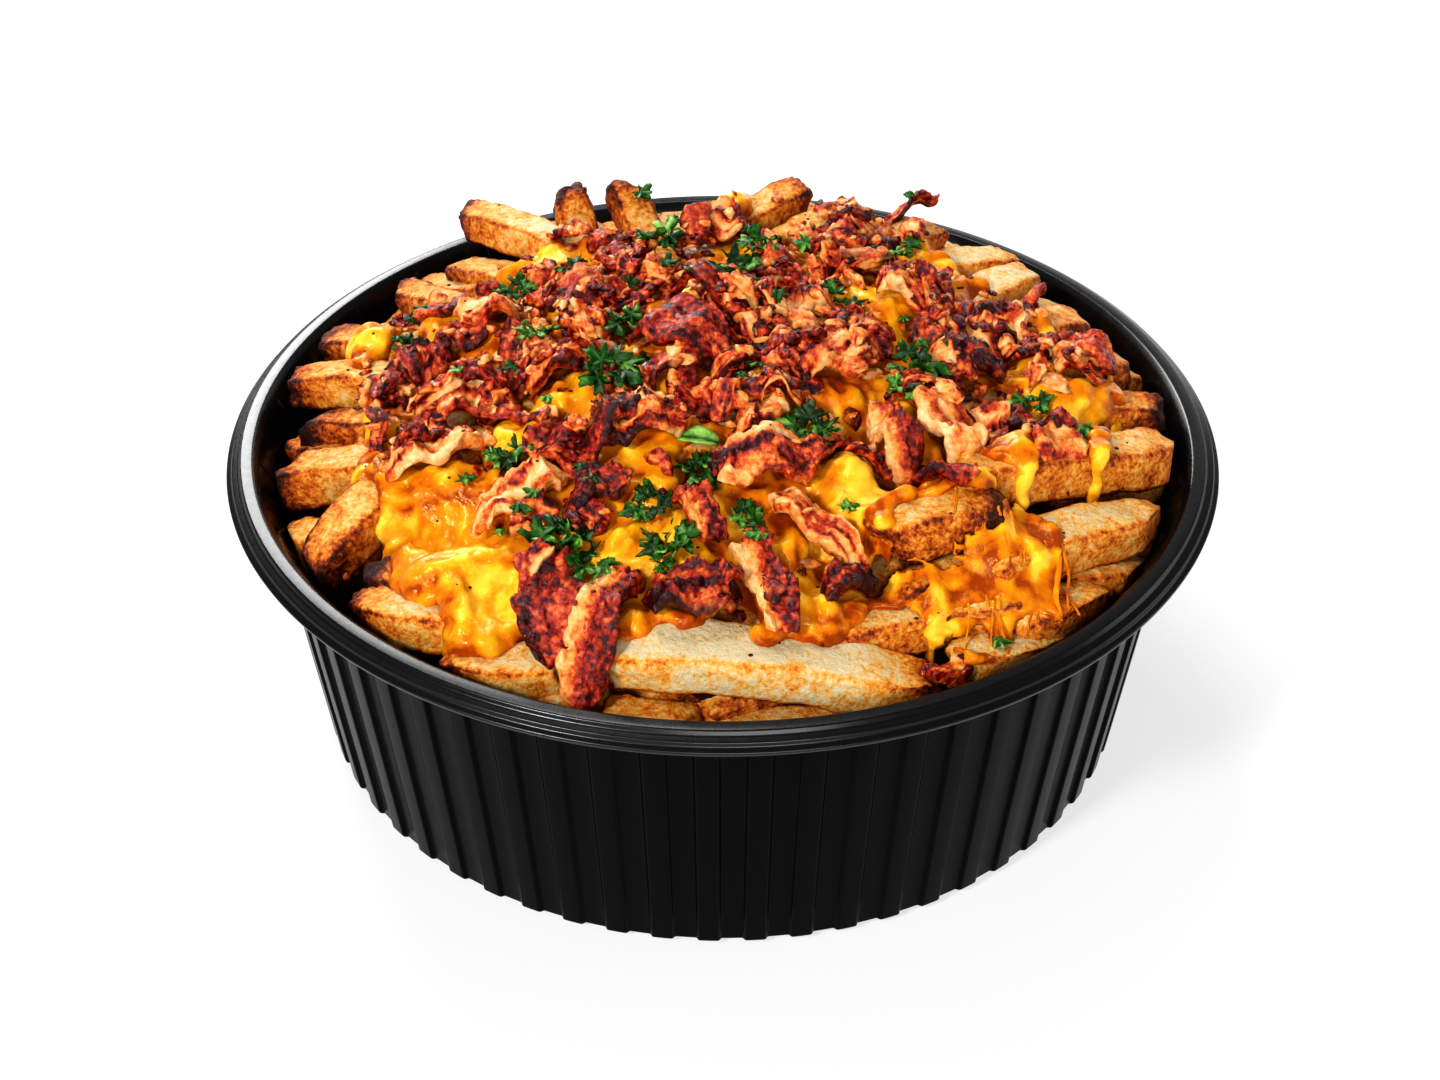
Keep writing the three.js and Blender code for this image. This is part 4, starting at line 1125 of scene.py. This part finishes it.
# For each cut of bacon: how fatty it is, how strong its streaks are, and how charred it is
CUTS = {
    "lean": (0.26, 0.3, 0.05),
    "edged": (0.5, 0.32, 0.0),
    "fatty": (0.62, 0.35, -0.1),
    "mixed": (0.48, 0.45, 0.0),
    "crisp": (0.16, 0.25, 0.4),
    "glazed": (0.27, 0.2, 0.0),
    "granular": (0.19, 0.15, -0.1),
    "shiny": (0.2, 0.12, -0.15),
}


def shake(points, size, seed=0.0):
    """A small random shift of each point, alike for points that lie close together."""
    shifted = points / size + np.array((seed * 1.3, seed * 2.9, seed * 4.7))
    return np.array([noise.noise_vector(point)[:] for point in shifted.tolist()])


class FOOD_OT_bacon(bpy.types.Operator):
    """Lays fried bacon pieces, shreds and crumbs over the cheese"""
    bl_idname = "food.bacon"
    bl_label = "Bacon"

    # The meshes of a piece and of a shred: steps along and across, and the places through the thickness
    STEPS = (36, 18)
    SHRED_STEPS = (16, 8)
    LAYERS = (-1, 0, 1)
    SEED = 23
    # Shreds that have a place of their own: as for the larger pieces
    CURLS = [(-5, 2.5, -16, 16, 7.5, 6.75, 1, "shiny"), (-21, 5, 30, 9, 5, 2, 0.5, "mixed")]
    # The other shreds: least and most length, width for their length, and their cuts
    SHRED_LENGTH = (5.5, 12)
    SHRED_WIDTH = (0.4, 0.75)
    SHRED_CUTS = ("lean", "lean", "edged", "fatty", "mixed", "mixed", "glazed", "glazed", "granular")
    # Least and most radius of the larger bits and of the crumbs, and how many crumbs there are to a bit
    BIT_SIZES = (1.2, 2.6)
    CRUMB_SIZES = (0.45, 1.25)
    CRUMBS_PER_BIT = 12
    # How charred a crumb is, drawn from these
    CHARS = (0.0, 0.0, 0.0, 0.15, 0.6)
    # How far out crumbs and shreds lie, how they crowd to the middle, and how far inside the cheese's border
    REACH = 68
    CROWDING = 0.54
    BORDER = -3
    # The line in front of which they are few, and the shares left out there and let in at bare places
    FRONT = -34
    LEFT_OUT = 0.75
    LET_IN = 0.06
    # Places with few crumbs, where the cheese or the fries lie bare: centre x and y, and radius
    BARE = [
        (-47, -50, 15), (-55, -36, 9), (-41, -63, 10), (-14, -58, 10), (-3, -57, 7), (-13, -40, 7),
        (23, -43, 8), (12, -61, 6), (62, -10, 8), (32, 13, 7), (-52, 16, 6), (-67, 15, 7), (-29, -17, 6),
        (-38, -23, 6), (18, 62, 6), (32, -28, 6), (50, -48, 20), (32, -62, 12), (70, -20, 12), (60, 30, 10),
        (-52, 40, 12), (9, 58, 13), (-26, 54, 13), (-41, 52, 10), (50, 44, 10), (-4, 47, 7), (12, 28, 6),
        (-8, -8, 10), (-14, 34, 5), (40, 34, 5), (-34, 34, 5),
    ]

    def strip(self, points, row, seed, bed, thickness):
        """A fried strip's points, its fat and its char: ragged, rippled and bent over what it lies on."""
        middle_x, middle_y, degrees, length, width, arch, lift, cut = row
        fatness, streakiness, charred = CUTS[cut]
        along, across, level = points.T
        line = as_points(along)
        rim = np.maximum(np.abs(along), np.abs(across))
        waist = 0.86 + 0.3 * noise_at(line, 0.7, seed) + 0.14 * noise_at(line, 0.22, seed)
        ragged = 0.94 + 0.22 * noise_at(as_points(across), 0.5, seed + 2)
        corner = 1 - 0.22 * (np.abs(along) * np.abs(across)) ** 2
        x = along * length / 2 * ragged * corner
        y = across * width / 2 * waist * corner + 0.14 * width * noise_at(line, 0.9, seed + 4)
        turn = math.radians(degrees)
        place_x = middle_x + x * math.cos(turn) - y * math.sin(turn)
        place_y = middle_y + x * math.sin(turn) + y * math.cos(turn)
        flat = as_points(x, y)
        under = bed.at(place_x, place_y, bed.soft)
        under = 0.8 * under + 0.2 * under.mean() + lift * (1 + along) / 2
        wave = 0.9 * np.sin(x * 0.7 + seed) * (1 - 0.4 * across)
        curl = arch * (1 - along ** 2) + wave + 0.8 * noise_at(flat, 4, seed + 6)
        edge_up = 1.3 * np.clip(np.abs(across) - 0.6, 0, 1) * (1 + noise_at(flat, 5, seed + 11))
        streaks = np.clip(2.2 * noise_at(as_points(along * 0.7, across * 2.4, seed), 1.0, seed), -1, 1)
        if cut == "edged":
            streaks = np.clip(-2.5 * (across + 0.25 + 0.25 * np.sin(along * 3)), -1, 1)
        fat = np.clip(fatness + streakiness * streaks, 0, 1)
        fibres = 0.5 * noise_at(as_points(along * length * 0.3, y * 1.6), 1.0, seed + 8)
        bubbles = (billows(flat, 1.9, seed + 5) + 0.7 * billows(flat, 1, seed + 7)) * (1.3 - 0.8 * fat)
        fine = min(1, width / 8) * (0.45 if cut == "shiny" else 1)
        bubbles = bubbles * fine * (0.35 if cut == "glazed" else 1)
        thick = min(thickness, 0.55 * width) * (0.85 + 0.35 * noise_at(flat, 3.2, seed + 9))
        thick = thick * np.sqrt(1.02 - rim ** 5)
        relief = (0.8 * bubbles + fibres) * (level > 0.5)
        z = under + thickness * 0.45 + curl + edge_up + level * thick / 2 + relief
        placed = as_points(place_x, place_y, z)
        placed = placed + fine * (0.6 * shake(placed, 2.2, seed) + 0.25 * shake(placed, 1.0, seed + 1))
        char = charred + 0.55 * fine * rim ** 7 - 0.25 * fat
        return kept_inside(placed), fat, np.clip(char, 0, 1)

    def free_place(self, rng):
        """A random place on the heap for a crumb: most lie on top, and few where the cheese is bare."""
        while True:
            turn, radius = rng.uniform(0, math.tau), self.REACH * rng.random() ** self.CROWDING
            x, y = polar(turn, radius)
            bare = any(math.hypot(x - bx, y - by) < reach for bx, by, reach in self.BARE + self.large)
            front = y < self.FRONT and rng.random() < self.LEFT_OUT
            on_cheese = float(cheese_reach(x, y)) - radius > self.BORDER
            if on_cheese and not front and (not bare or rng.random() < self.LET_IN):
                return x, y

    def add_crumbs(self, name, sizes, count, subdivisions, material, bed):
        """Small bits: uneven lumps of lean and fat."""
        rng = random.Random(self.SEED + count)
        ball = new_shape()
        bmesh.ops.create_icosphere(ball, subdivisions=subdivisions, radius=1)
        template = as_mesh(ball, "crumb")
        round_points = points_of(template.vertices)
        bm = new_shape("fat", "char")
        for i in range(count):
            x, y = self.free_place(rng)
            size = rng.uniform(*sizes)
            stretch = np.array((rng.uniform(1, 1.9), rng.uniform(0.7, 1.1), rng.uniform(0.4, 0.75))) * size
            seed = i * 0.71
            lump = round_points * (1 + 0.5 * noise_at(round_points, 0.8, seed))[:, None] * stretch
            lump = lump + 0.4 * min(size, 1.5) * shake(lump, 0.8, seed)
            spin = Matrix.Rotation(rng.uniform(0, 6.28), 3, "Z") @ Matrix.Rotation(rng.gauss(0, 0.5), 3, "X")
            lump = lump @ np.array(spin).T + np.array((x, y, float(bed.at(x, y)) + 0.1 * size))
            fat = np.clip(rng.uniform(0, 0.72) + 0.4 * noise_at(round_points, 0.7, seed + 5), 0, 1)
            add_shape(bm, template, lump, fat=fat, char=np.full(len(fat), rng.choice(self.CHARS)))
        bpy.data.meshes.remove(template)
        return finish_piece(bm, name, material)

    def shred_rows(self, count):
        """Rows for the shreds, like those of the larger pieces."""
        rng = random.Random(self.SEED)
        rows = list(self.CURLS)
        while len(rows) < count:
            x, y = self.free_place(rng)
            length = rng.uniform(*self.SHRED_LENGTH)
            turn, width = rng.uniform(0, 360), length * rng.uniform(*self.SHRED_WIDTH)
            arch, lift = rng.uniform(0, 2), min(rng.gauss(0.2, 1.0), 1.6)
            rows.append((x, y, turn, length, width, arch, lift, rng.choice(self.SHRED_CUTS)))
        return rows, rng

    def add_strips(self, name, grid, rows, bed, thicknesses, material, nodes=()):
        """One piece of the strips in the rows, each with its seed and its thickness."""
        template, points = grid
        bm = new_shape("fat", "char")
        for (seed, row), thickness in zip(rows, thicknesses):
            placed, fat, char = self.strip(points, row, seed, bed, thickness)
            add_shape(bm, template, placed, fat=fat, char=char)
        bed.cover(finish_piece(bm, name, material, nodes))

    def execute(self, context):
        settings = context.scene.bacon_settings
        noise.seed_set(self.SEED)
        material = fried_bacon(settings)
        bed = HeightMap(["fries_core", "fries_buried", "fries_shown", "cheese_melt"])
        bed.soft = blurred(widened(bed.heights, 1), 2.0)
        self.large = [(row[0], row[1], 0.42 * row[4]) for row in (*BACON_PIECES, *self.CURLS)]
        thickness = settings.thickness / MM
        large, small = (
            box_grid(np.linspace(-1, 1, along + 1), np.linspace(-1, 1, across + 1), self.LAYERS)
            for along, across in (self.STEPS, self.SHRED_STEPS))
        for i, row in enumerate(BACON_PIECES):
            node = f"bacon_{i + 1:02d}"
            self.add_strips(f"fried_{node}", large, [(i * 2.13, row)], bed, [thickness], material, [node])
        bed.soft = blurred(bed.heights, 1.2)
        rows, rng = self.shred_rows(settings.shreds)
        thin = [thickness * rng.uniform(0.5, 0.8) for _ in rows]
        seeded = [(90 + i * 1.31, row) for i, row in enumerate(rows)]
        self.add_strips("bacon_shreds", small, seeded, bed, thin, material)
        for template, _ in (large, small):
            bpy.data.meshes.remove(template)
        bits = settings.crumbs // self.CRUMBS_PER_BIT
        bed.cover(self.add_crumbs("bacon_bits", self.BIT_SIZES, bits, 3, material, bed))
        self.add_crumbs("bacon_crumbs", self.CRUMB_SIZES, settings.crumbs, 2, material, bed)
        return {"FINISHED"}


class FOOD_OT_parsley(bpy.types.Operator):
    """Scatters parsley leaves and cracked pepper"""
    bl_idname = "food.parsley"
    bl_label = "Parsley"

    SEED = 31
    OUTLINE_STEPS = 40
    RINGS = 3
    # Small flecks of leaf: centre x and y
    FLECKS = [
        (-11.7, 53.6), (5.4, 37.6), (-1.4, 13.7), (8.6, -0.4), (20.2, 16), (34.7, 37.2), (-16.5, -10.7),
        (-21.6, -17.9), (-34.4, 0.6), (-18.3, 13.4), (37.7, -5.7), (33.7, -24.1), (13.4, -31.6), (3, -26.9),
        (7.5, -21.7), (-39.8, -28.1), (-31.1, -43.2), (-20.7, -46.3), (-12.2, -47.4), (-3.8, -47.9),
        (-37.8, -46.1), (-23.9, -52.6), (-10.4, -58.1), (2.9, -48.1), (21.4, -48.9), (7.9, -55.8),
        (66.2, -11.9), (44.4, -65.8), (33.8, 5.5), (-29.2, 22.9),
    ]
    MORE_FLECKS = 20
    # Their reach and sizes: least and most of a leaflet's radius
    FLECK_REACH = 66
    FLECK_SIZES = (1.3, 2.8)
    # The one leaf that is left whole: centre x and y, its turn, and half its length and width
    WHOLE_LEAF = (-4.4, -35, -0.25, 3.8, 2.5)
    # A sprig's leaflets: least and most radius, as shares of the sprig's width
    LEAFLET_SIZES = (0.22, 0.33)
    PEPPER_COUNT = 230
    PEPPER_REACH = 76
    PEPPER_SIZES = (0.16, 0.4)

    def disc(self):
        """A flat disc of triangles and rings, which each leaflet is shaped from, and its points."""
        bm = new_shape()
        bmesh.ops.create_circle(bm, cap_ends=True, cap_tris=True, segments=self.OUTLINE_STEPS, radius=1)
        spokes = [edge for edge in bm.edges if not edge.is_boundary]
        bmesh.ops.subdivide_edges(bm, edges=spokes, cuts=self.RINGS - 1, use_grid_fill=True)
        bmesh.ops.recalc_face_normals(bm, faces=bm.faces)
        mesh = as_mesh(bm, "leaflet")
        return mesh, points_of(mesh.vertices)

    def leaflet(self, size, seed, rng):
        """A leaflet with deep lobes and small teeth, its stalk at the origin, and how pale its folds are."""
        x, y = self.points[:, 0], self.points[:, 1]
        turn, share = np.arctan2(y, x), np.hypot(x, y)
        lobes = 0.45 + 0.55 * np.abs(np.cos(turn * 2.5)) ** 0.9
        teeth = 1 + 0.16 * np.sin(turn * 14 + seed)
        forward = 0.8 + 0.2 * np.cos(turn)
        stalk = 1 - 0.75 * np.exp(-((np.abs(turn) - math.pi) / 0.5) ** 2)
        reach = size * lobes * teeth * forward * stalk * share
        flat = as_points(reach * np.cos(turn) + size * 0.6, reach * np.sin(turn))
        ruffle = 0.16 * size * share ** 2 * np.cos(turn * 5 + 0.4 * seed)
        fine = 0.2 * size * noise_at(flat, 0.4 * size, seed)
        cup = rng.uniform(-0.35, 0.2) * size * share ** 2
        flat[:, 2] = ruffle + fine * share + cup
        fold = 0.2 * share * np.cos(turn * 5) + 0.35 * noise_at(flat, 0.6 * size, seed) - 0.15
        return flat, fold

    def lay(self, bm, shape, turned, place, fold):
        """Adds a leaflet, turned by a matrix and moved to its place."""
        add_shape(bm, self.template, shape @ np.array(turned).T + np.array(place), fold=fold)

    def on_food(self, x, y, lift):
        return x, y, float(self.bed.at(x, y, self.soft)) + lift

    def add_sprig(self, bm, row, seed, rng):
        """Leaflets round one stalk and on it, each tilted its own way."""
        x, y, width, degrees = row
        x, y, z = self.on_food(x, y, 0)
        leaflets = round(width / 2)
        for i in range(leaflets):
            size = width * rng.uniform(*self.LEAFLET_SIZES)
            shape, fold = self.leaflet(size, seed + i, rng)
            heading = math.radians(degrees) + math.tau * (i + rng.uniform(-0.3, 0.3)) / leaflets
            tilt = Matrix.Rotation(heading, 3, "Z") @ Matrix.Rotation(-rng.uniform(-0.2, 0.7), 3, "Y")
            roll = Matrix.Rotation(rng.gauss(0, 0.45), 3, "X")
            dx, dy = polar(heading, 0.1 * width * rng.random())
            foot = (x + dx, y + dy, z + 0.6 + 0.3 * rng.random() * i)
            self.lay(bm, shape, tilt @ roll, foot, fold + rng.uniform(-0.3, 0.25))

    def add_flecks(self, bm, rng):
        """Single leaflets: those with a place of their own, and then random ones."""
        for i in range(len(self.FLECKS) + self.MORE_FLECKS):
            turn, radius = rng.uniform(0, math.tau), self.FLECK_REACH * rng.random() ** 0.55
            x, y = self.FLECKS[i] if i < len(self.FLECKS) else polar(turn, radius)
            shape, fold = self.leaflet(rng.uniform(*self.FLECK_SIZES), i * 1.9, rng)
            lean = Matrix.Rotation(turn * 3, 3, "Z") @ Matrix.Rotation(rng.gauss(0, 0.35), 3, "X")
            self.lay(bm, shape, lean, self.on_food(x, y, 0.5), fold + rng.uniform(-0.2, 0.25))

    def add_whole_leaf(self, bm):
        """A small oval leaf, folded and bent along its middle, and darker along that fold."""
        x, y, turn, half_length, half_width = self.WHOLE_LEAF
        shape = self.points * (half_length, half_width, 1)
        shape[:, 2] = 0.35 * np.abs(shape[:, 1]) - 0.03 * shape[:, 0] ** 2 + 0.15 * noise_at(shape, 1.5)
        fold = 0.35 - 0.5 * np.exp(-(shape[:, 1] / 0.4) ** 2)
        self.lay(bm, shape, Matrix.Rotation(turn, 3, "Z"), self.on_food(x, y, 1.6), fold)

    def finish_leaves(self, bm, name, material, thickness, nodes=()):
        bmesh.ops.solidify(bm, geom=bm.faces[:], thickness=thickness)
        bmesh.ops.recalc_face_normals(bm, faces=bm.faces)
        finish_piece(bm, name, material, nodes)

    def add_pepper(self):
        """Specks of pepper over the cheese and the fries."""
        rng = random.Random(self.SEED + 1)
        bm = new_shape()
        for _ in range(self.PEPPER_COUNT):
            x, y = polar(rng.uniform(0, math.tau), self.PEPPER_REACH * math.sqrt(rng.random()))
            size = rng.uniform(*self.PEPPER_SIZES)
            place = Matrix.Translation((x, y, float(self.bed.at(x, y)) + 0.2 * size))
            shape = Matrix.Diagonal((rng.uniform(0.8, 1.5), 1, 0.6, 1))
            bmesh.ops.create_icosphere(bm, subdivisions=1, radius=size, matrix=place @ shape)
        finish_piece(bm, "pepper_specks", cracked_pepper())

    def execute(self, context):
        settings = context.scene.parsley_settings
        material = fresh_parsley(settings)
        toppings = [f"fried_bacon_{i + 1:02d}" for i in range(len(BACON_PIECES))]
        self.bed = HeightMap([
            "fries_buried", "fries_shown", "cheese_melt", "bacon_bits", "bacon_shreds", *toppings])
        self.soft = blurred(widened(self.bed.heights, 1), 1.5)
        self.template, self.points = self.disc()
        rng = random.Random(self.SEED)
        thickness = settings.thickness / MM
        for i, row in enumerate(LEAVES):
            bm = new_shape("fold")
            self.add_sprig(bm, row, i * 3.7, rng)
            number = f"{i + 1:02d}"
            self.finish_leaves(bm, f"parsley_sprig_{number}", material, thickness, [f"parsley_{number}"])
        bm = new_shape("fold")
        self.add_flecks(bm, rng)
        self.add_whole_leaf(bm)
        self.finish_leaves(bm, "parsley_bits", material, thickness)
        bpy.data.meshes.remove(self.template)
        self.add_pepper()
        return {"FINISHED"}


class FOOD_OT_stage(bpy.types.Operator):
    """Sets the floor, the lights and the camera"""
    bl_idname = "food.stage"
    bl_label = "Stage"

    # The point that the camera looks at, and the lights: name, place, size, and power in watts
    TARGET = Vector((-0.0005, 0, 0.03136))
    LIGHTS = [
        ("key", (-0.9, -1.08, 1.12), 0.25, 19.0),
        ("front", (0.1, -0.95, 0.42), 0.5, 4.2),
        ("overhead", (-0.1, 0.35, 0.85), 0.25, 2.0),
        ("back", (-0.3, 0.72, 0.5), 0.35, 4.0),
        ("behind", (0.3, 1.0, 0.25), 0.6, 1.5),
        ("right", (1.1, 0.1, 0.3), 0.5, 1.2),
    ]
    # Half the floor's width, and where its own glow begins and ends round the bowl, and its least and most
    FLOOR_HALF = 4
    GLOW_FROM, GLOW_TO = 0.35, 1.2
    GLOW_LEAST, GLOW_MOST = 0.49, 1.0
    WORLD_LIGHT = 0.22

    def add_floor(self, settings):
        bm = new_shape()
        bmesh.ops.create_grid(bm, x_segments=8, y_segments=8, size=self.FLOOR_HALF)
        mesh = as_mesh(bm, "floor")
        material, tree, place = new_material("Matt white card")
        away = add_node(tree, "VectorMath", {0: place}, operation="LENGTH").outputs["Value"]
        glow = add_node(tree, "MapRange", {
            "Value": away, "From Min": self.GLOW_FROM, "From Max": self.GLOW_TO, "To Min": self.GLOW_LEAST,
            "To Max": self.GLOW_MOST})
        surface = add_node(tree, "BsdfPrincipled", {
            "Base Color": settings.floor[:], "Roughness": 0.9, "Specular IOR Level": 0.1,
            "Emission Color": grey(1.0), "Emission Strength": glow})
        close_material(tree, surface)
        mesh.materials.append(material)
        floor = add_object("floor", mesh)

    def add_world(self):
        """White to the camera, as behind the photograph's table, and a softer light on the food."""
        world = bpy.data.worlds.new("studio")
        bpy.context.scene.world = world
        world.use_nodes = True
        tree = world.node_tree
        tree.nodes.clear()
        camera_ray = add_node(tree, "LightPath").outputs["Is Camera Ray"]
        seen, cast = (
            add_node(tree, "Background", {"Color": grey(1.0), "Strength": strength})
            for strength in (1.0, self.WORLD_LIGHT))
        both = add_node(tree, "MixShader", {0: camera_ray, 1: cast, 2: seen})
        add_node(tree, "OutputWorld", {"Surface": both})

    def add_lights(self):
        for name, place, size, power in self.LIGHTS:
            light = bpy.data.lights.new(name, "AREA")
            light.size = size
            light.energy = power
            holder = add_object(name, light)
            holder.location = place
            holder.rotation_euler = (self.TARGET - Vector(place)).to_track_quat("-Z", "Y").to_euler()

    def add_camera(self, settings):
        lens = bpy.data.cameras.new("camera")
        lens.lens = settings.lens
        lens.sensor_width = 36
        lens.clip_start = 0.01
        camera = add_object("camera", lens)
        back = Vector((0, -math.cos(settings.elevation), math.sin(settings.elevation)))
        camera.location = self.TARGET + back * settings.distance
        camera.rotation_euler = (-back).to_track_quat("-Z", "Y").to_euler()
        bpy.context.scene.camera = camera

    def execute(self, context):
        settings = context.scene.stage_settings
        self.add_floor(settings)
        self.add_world()
        self.add_lights()
        self.add_camera(settings)
        context.scene.view_settings.view_transform = "Standard"
        context.scene.view_settings.look = "High Contrast"
        return {"FINISHED"}


class FOOD_PT_panel(bpy.types.Panel):
    """Lists the bowl's and the food's operators with their settings"""
    bl_label = "Cheese Fries"
    bl_idname = "FOOD_PT_panel"
    bl_space_type = "VIEW_3D"
    bl_region_type = "UI"
    bl_category = "Food"

    def draw(self, context):
        for operator, settings, _ in SECTIONS:
            box = self.layout.box()
            box.operator(operator.bl_idname)
            group = getattr(context.scene, settings)
            for name in group.bl_rna.properties.keys():
                if name not in {"rna_type", "name"}:
                    box.prop(group, name)


# Each operator, and the name and the group of its settings, in the order of the panel
SECTIONS = (
    (FOOD_OT_stage, "stage_settings", StageSettings),
    (FOOD_OT_bowl, "bowl_settings", BowlSettings),
    (FOOD_OT_fries, "fries_settings", FriesSettings),
    (FOOD_OT_cheese, "cheese_settings", CheeseSettings),
    (FOOD_OT_bacon, "bacon_settings", BaconSettings),
    (FOOD_OT_parsley, "parsley_settings", ParsleySettings),
)


def register():
    for operator, name, group in SECTIONS:
        bpy.utils.register_class(group)
        setattr(bpy.types.Scene, name, PointerProperty(type=group))
        bpy.utils.register_class(operator)
    bpy.utils.register_class(FOOD_PT_panel)


def unregister():
    bpy.utils.unregister_class(FOOD_PT_panel)
    for operator, name, group in reversed(SECTIONS):
        bpy.utils.unregister_class(operator)
        delattr(bpy.types.Scene, name)
        bpy.utils.unregister_class(group)


def main():
    register()
    bpy.ops.food.stage()
    bpy.ops.food.bowl()
    bpy.ops.food.fries()
    bpy.ops.food.cheese()
    bpy.ops.food.bacon()
    bpy.ops.food.parsley()


if __name__ == "__main__":
    main()
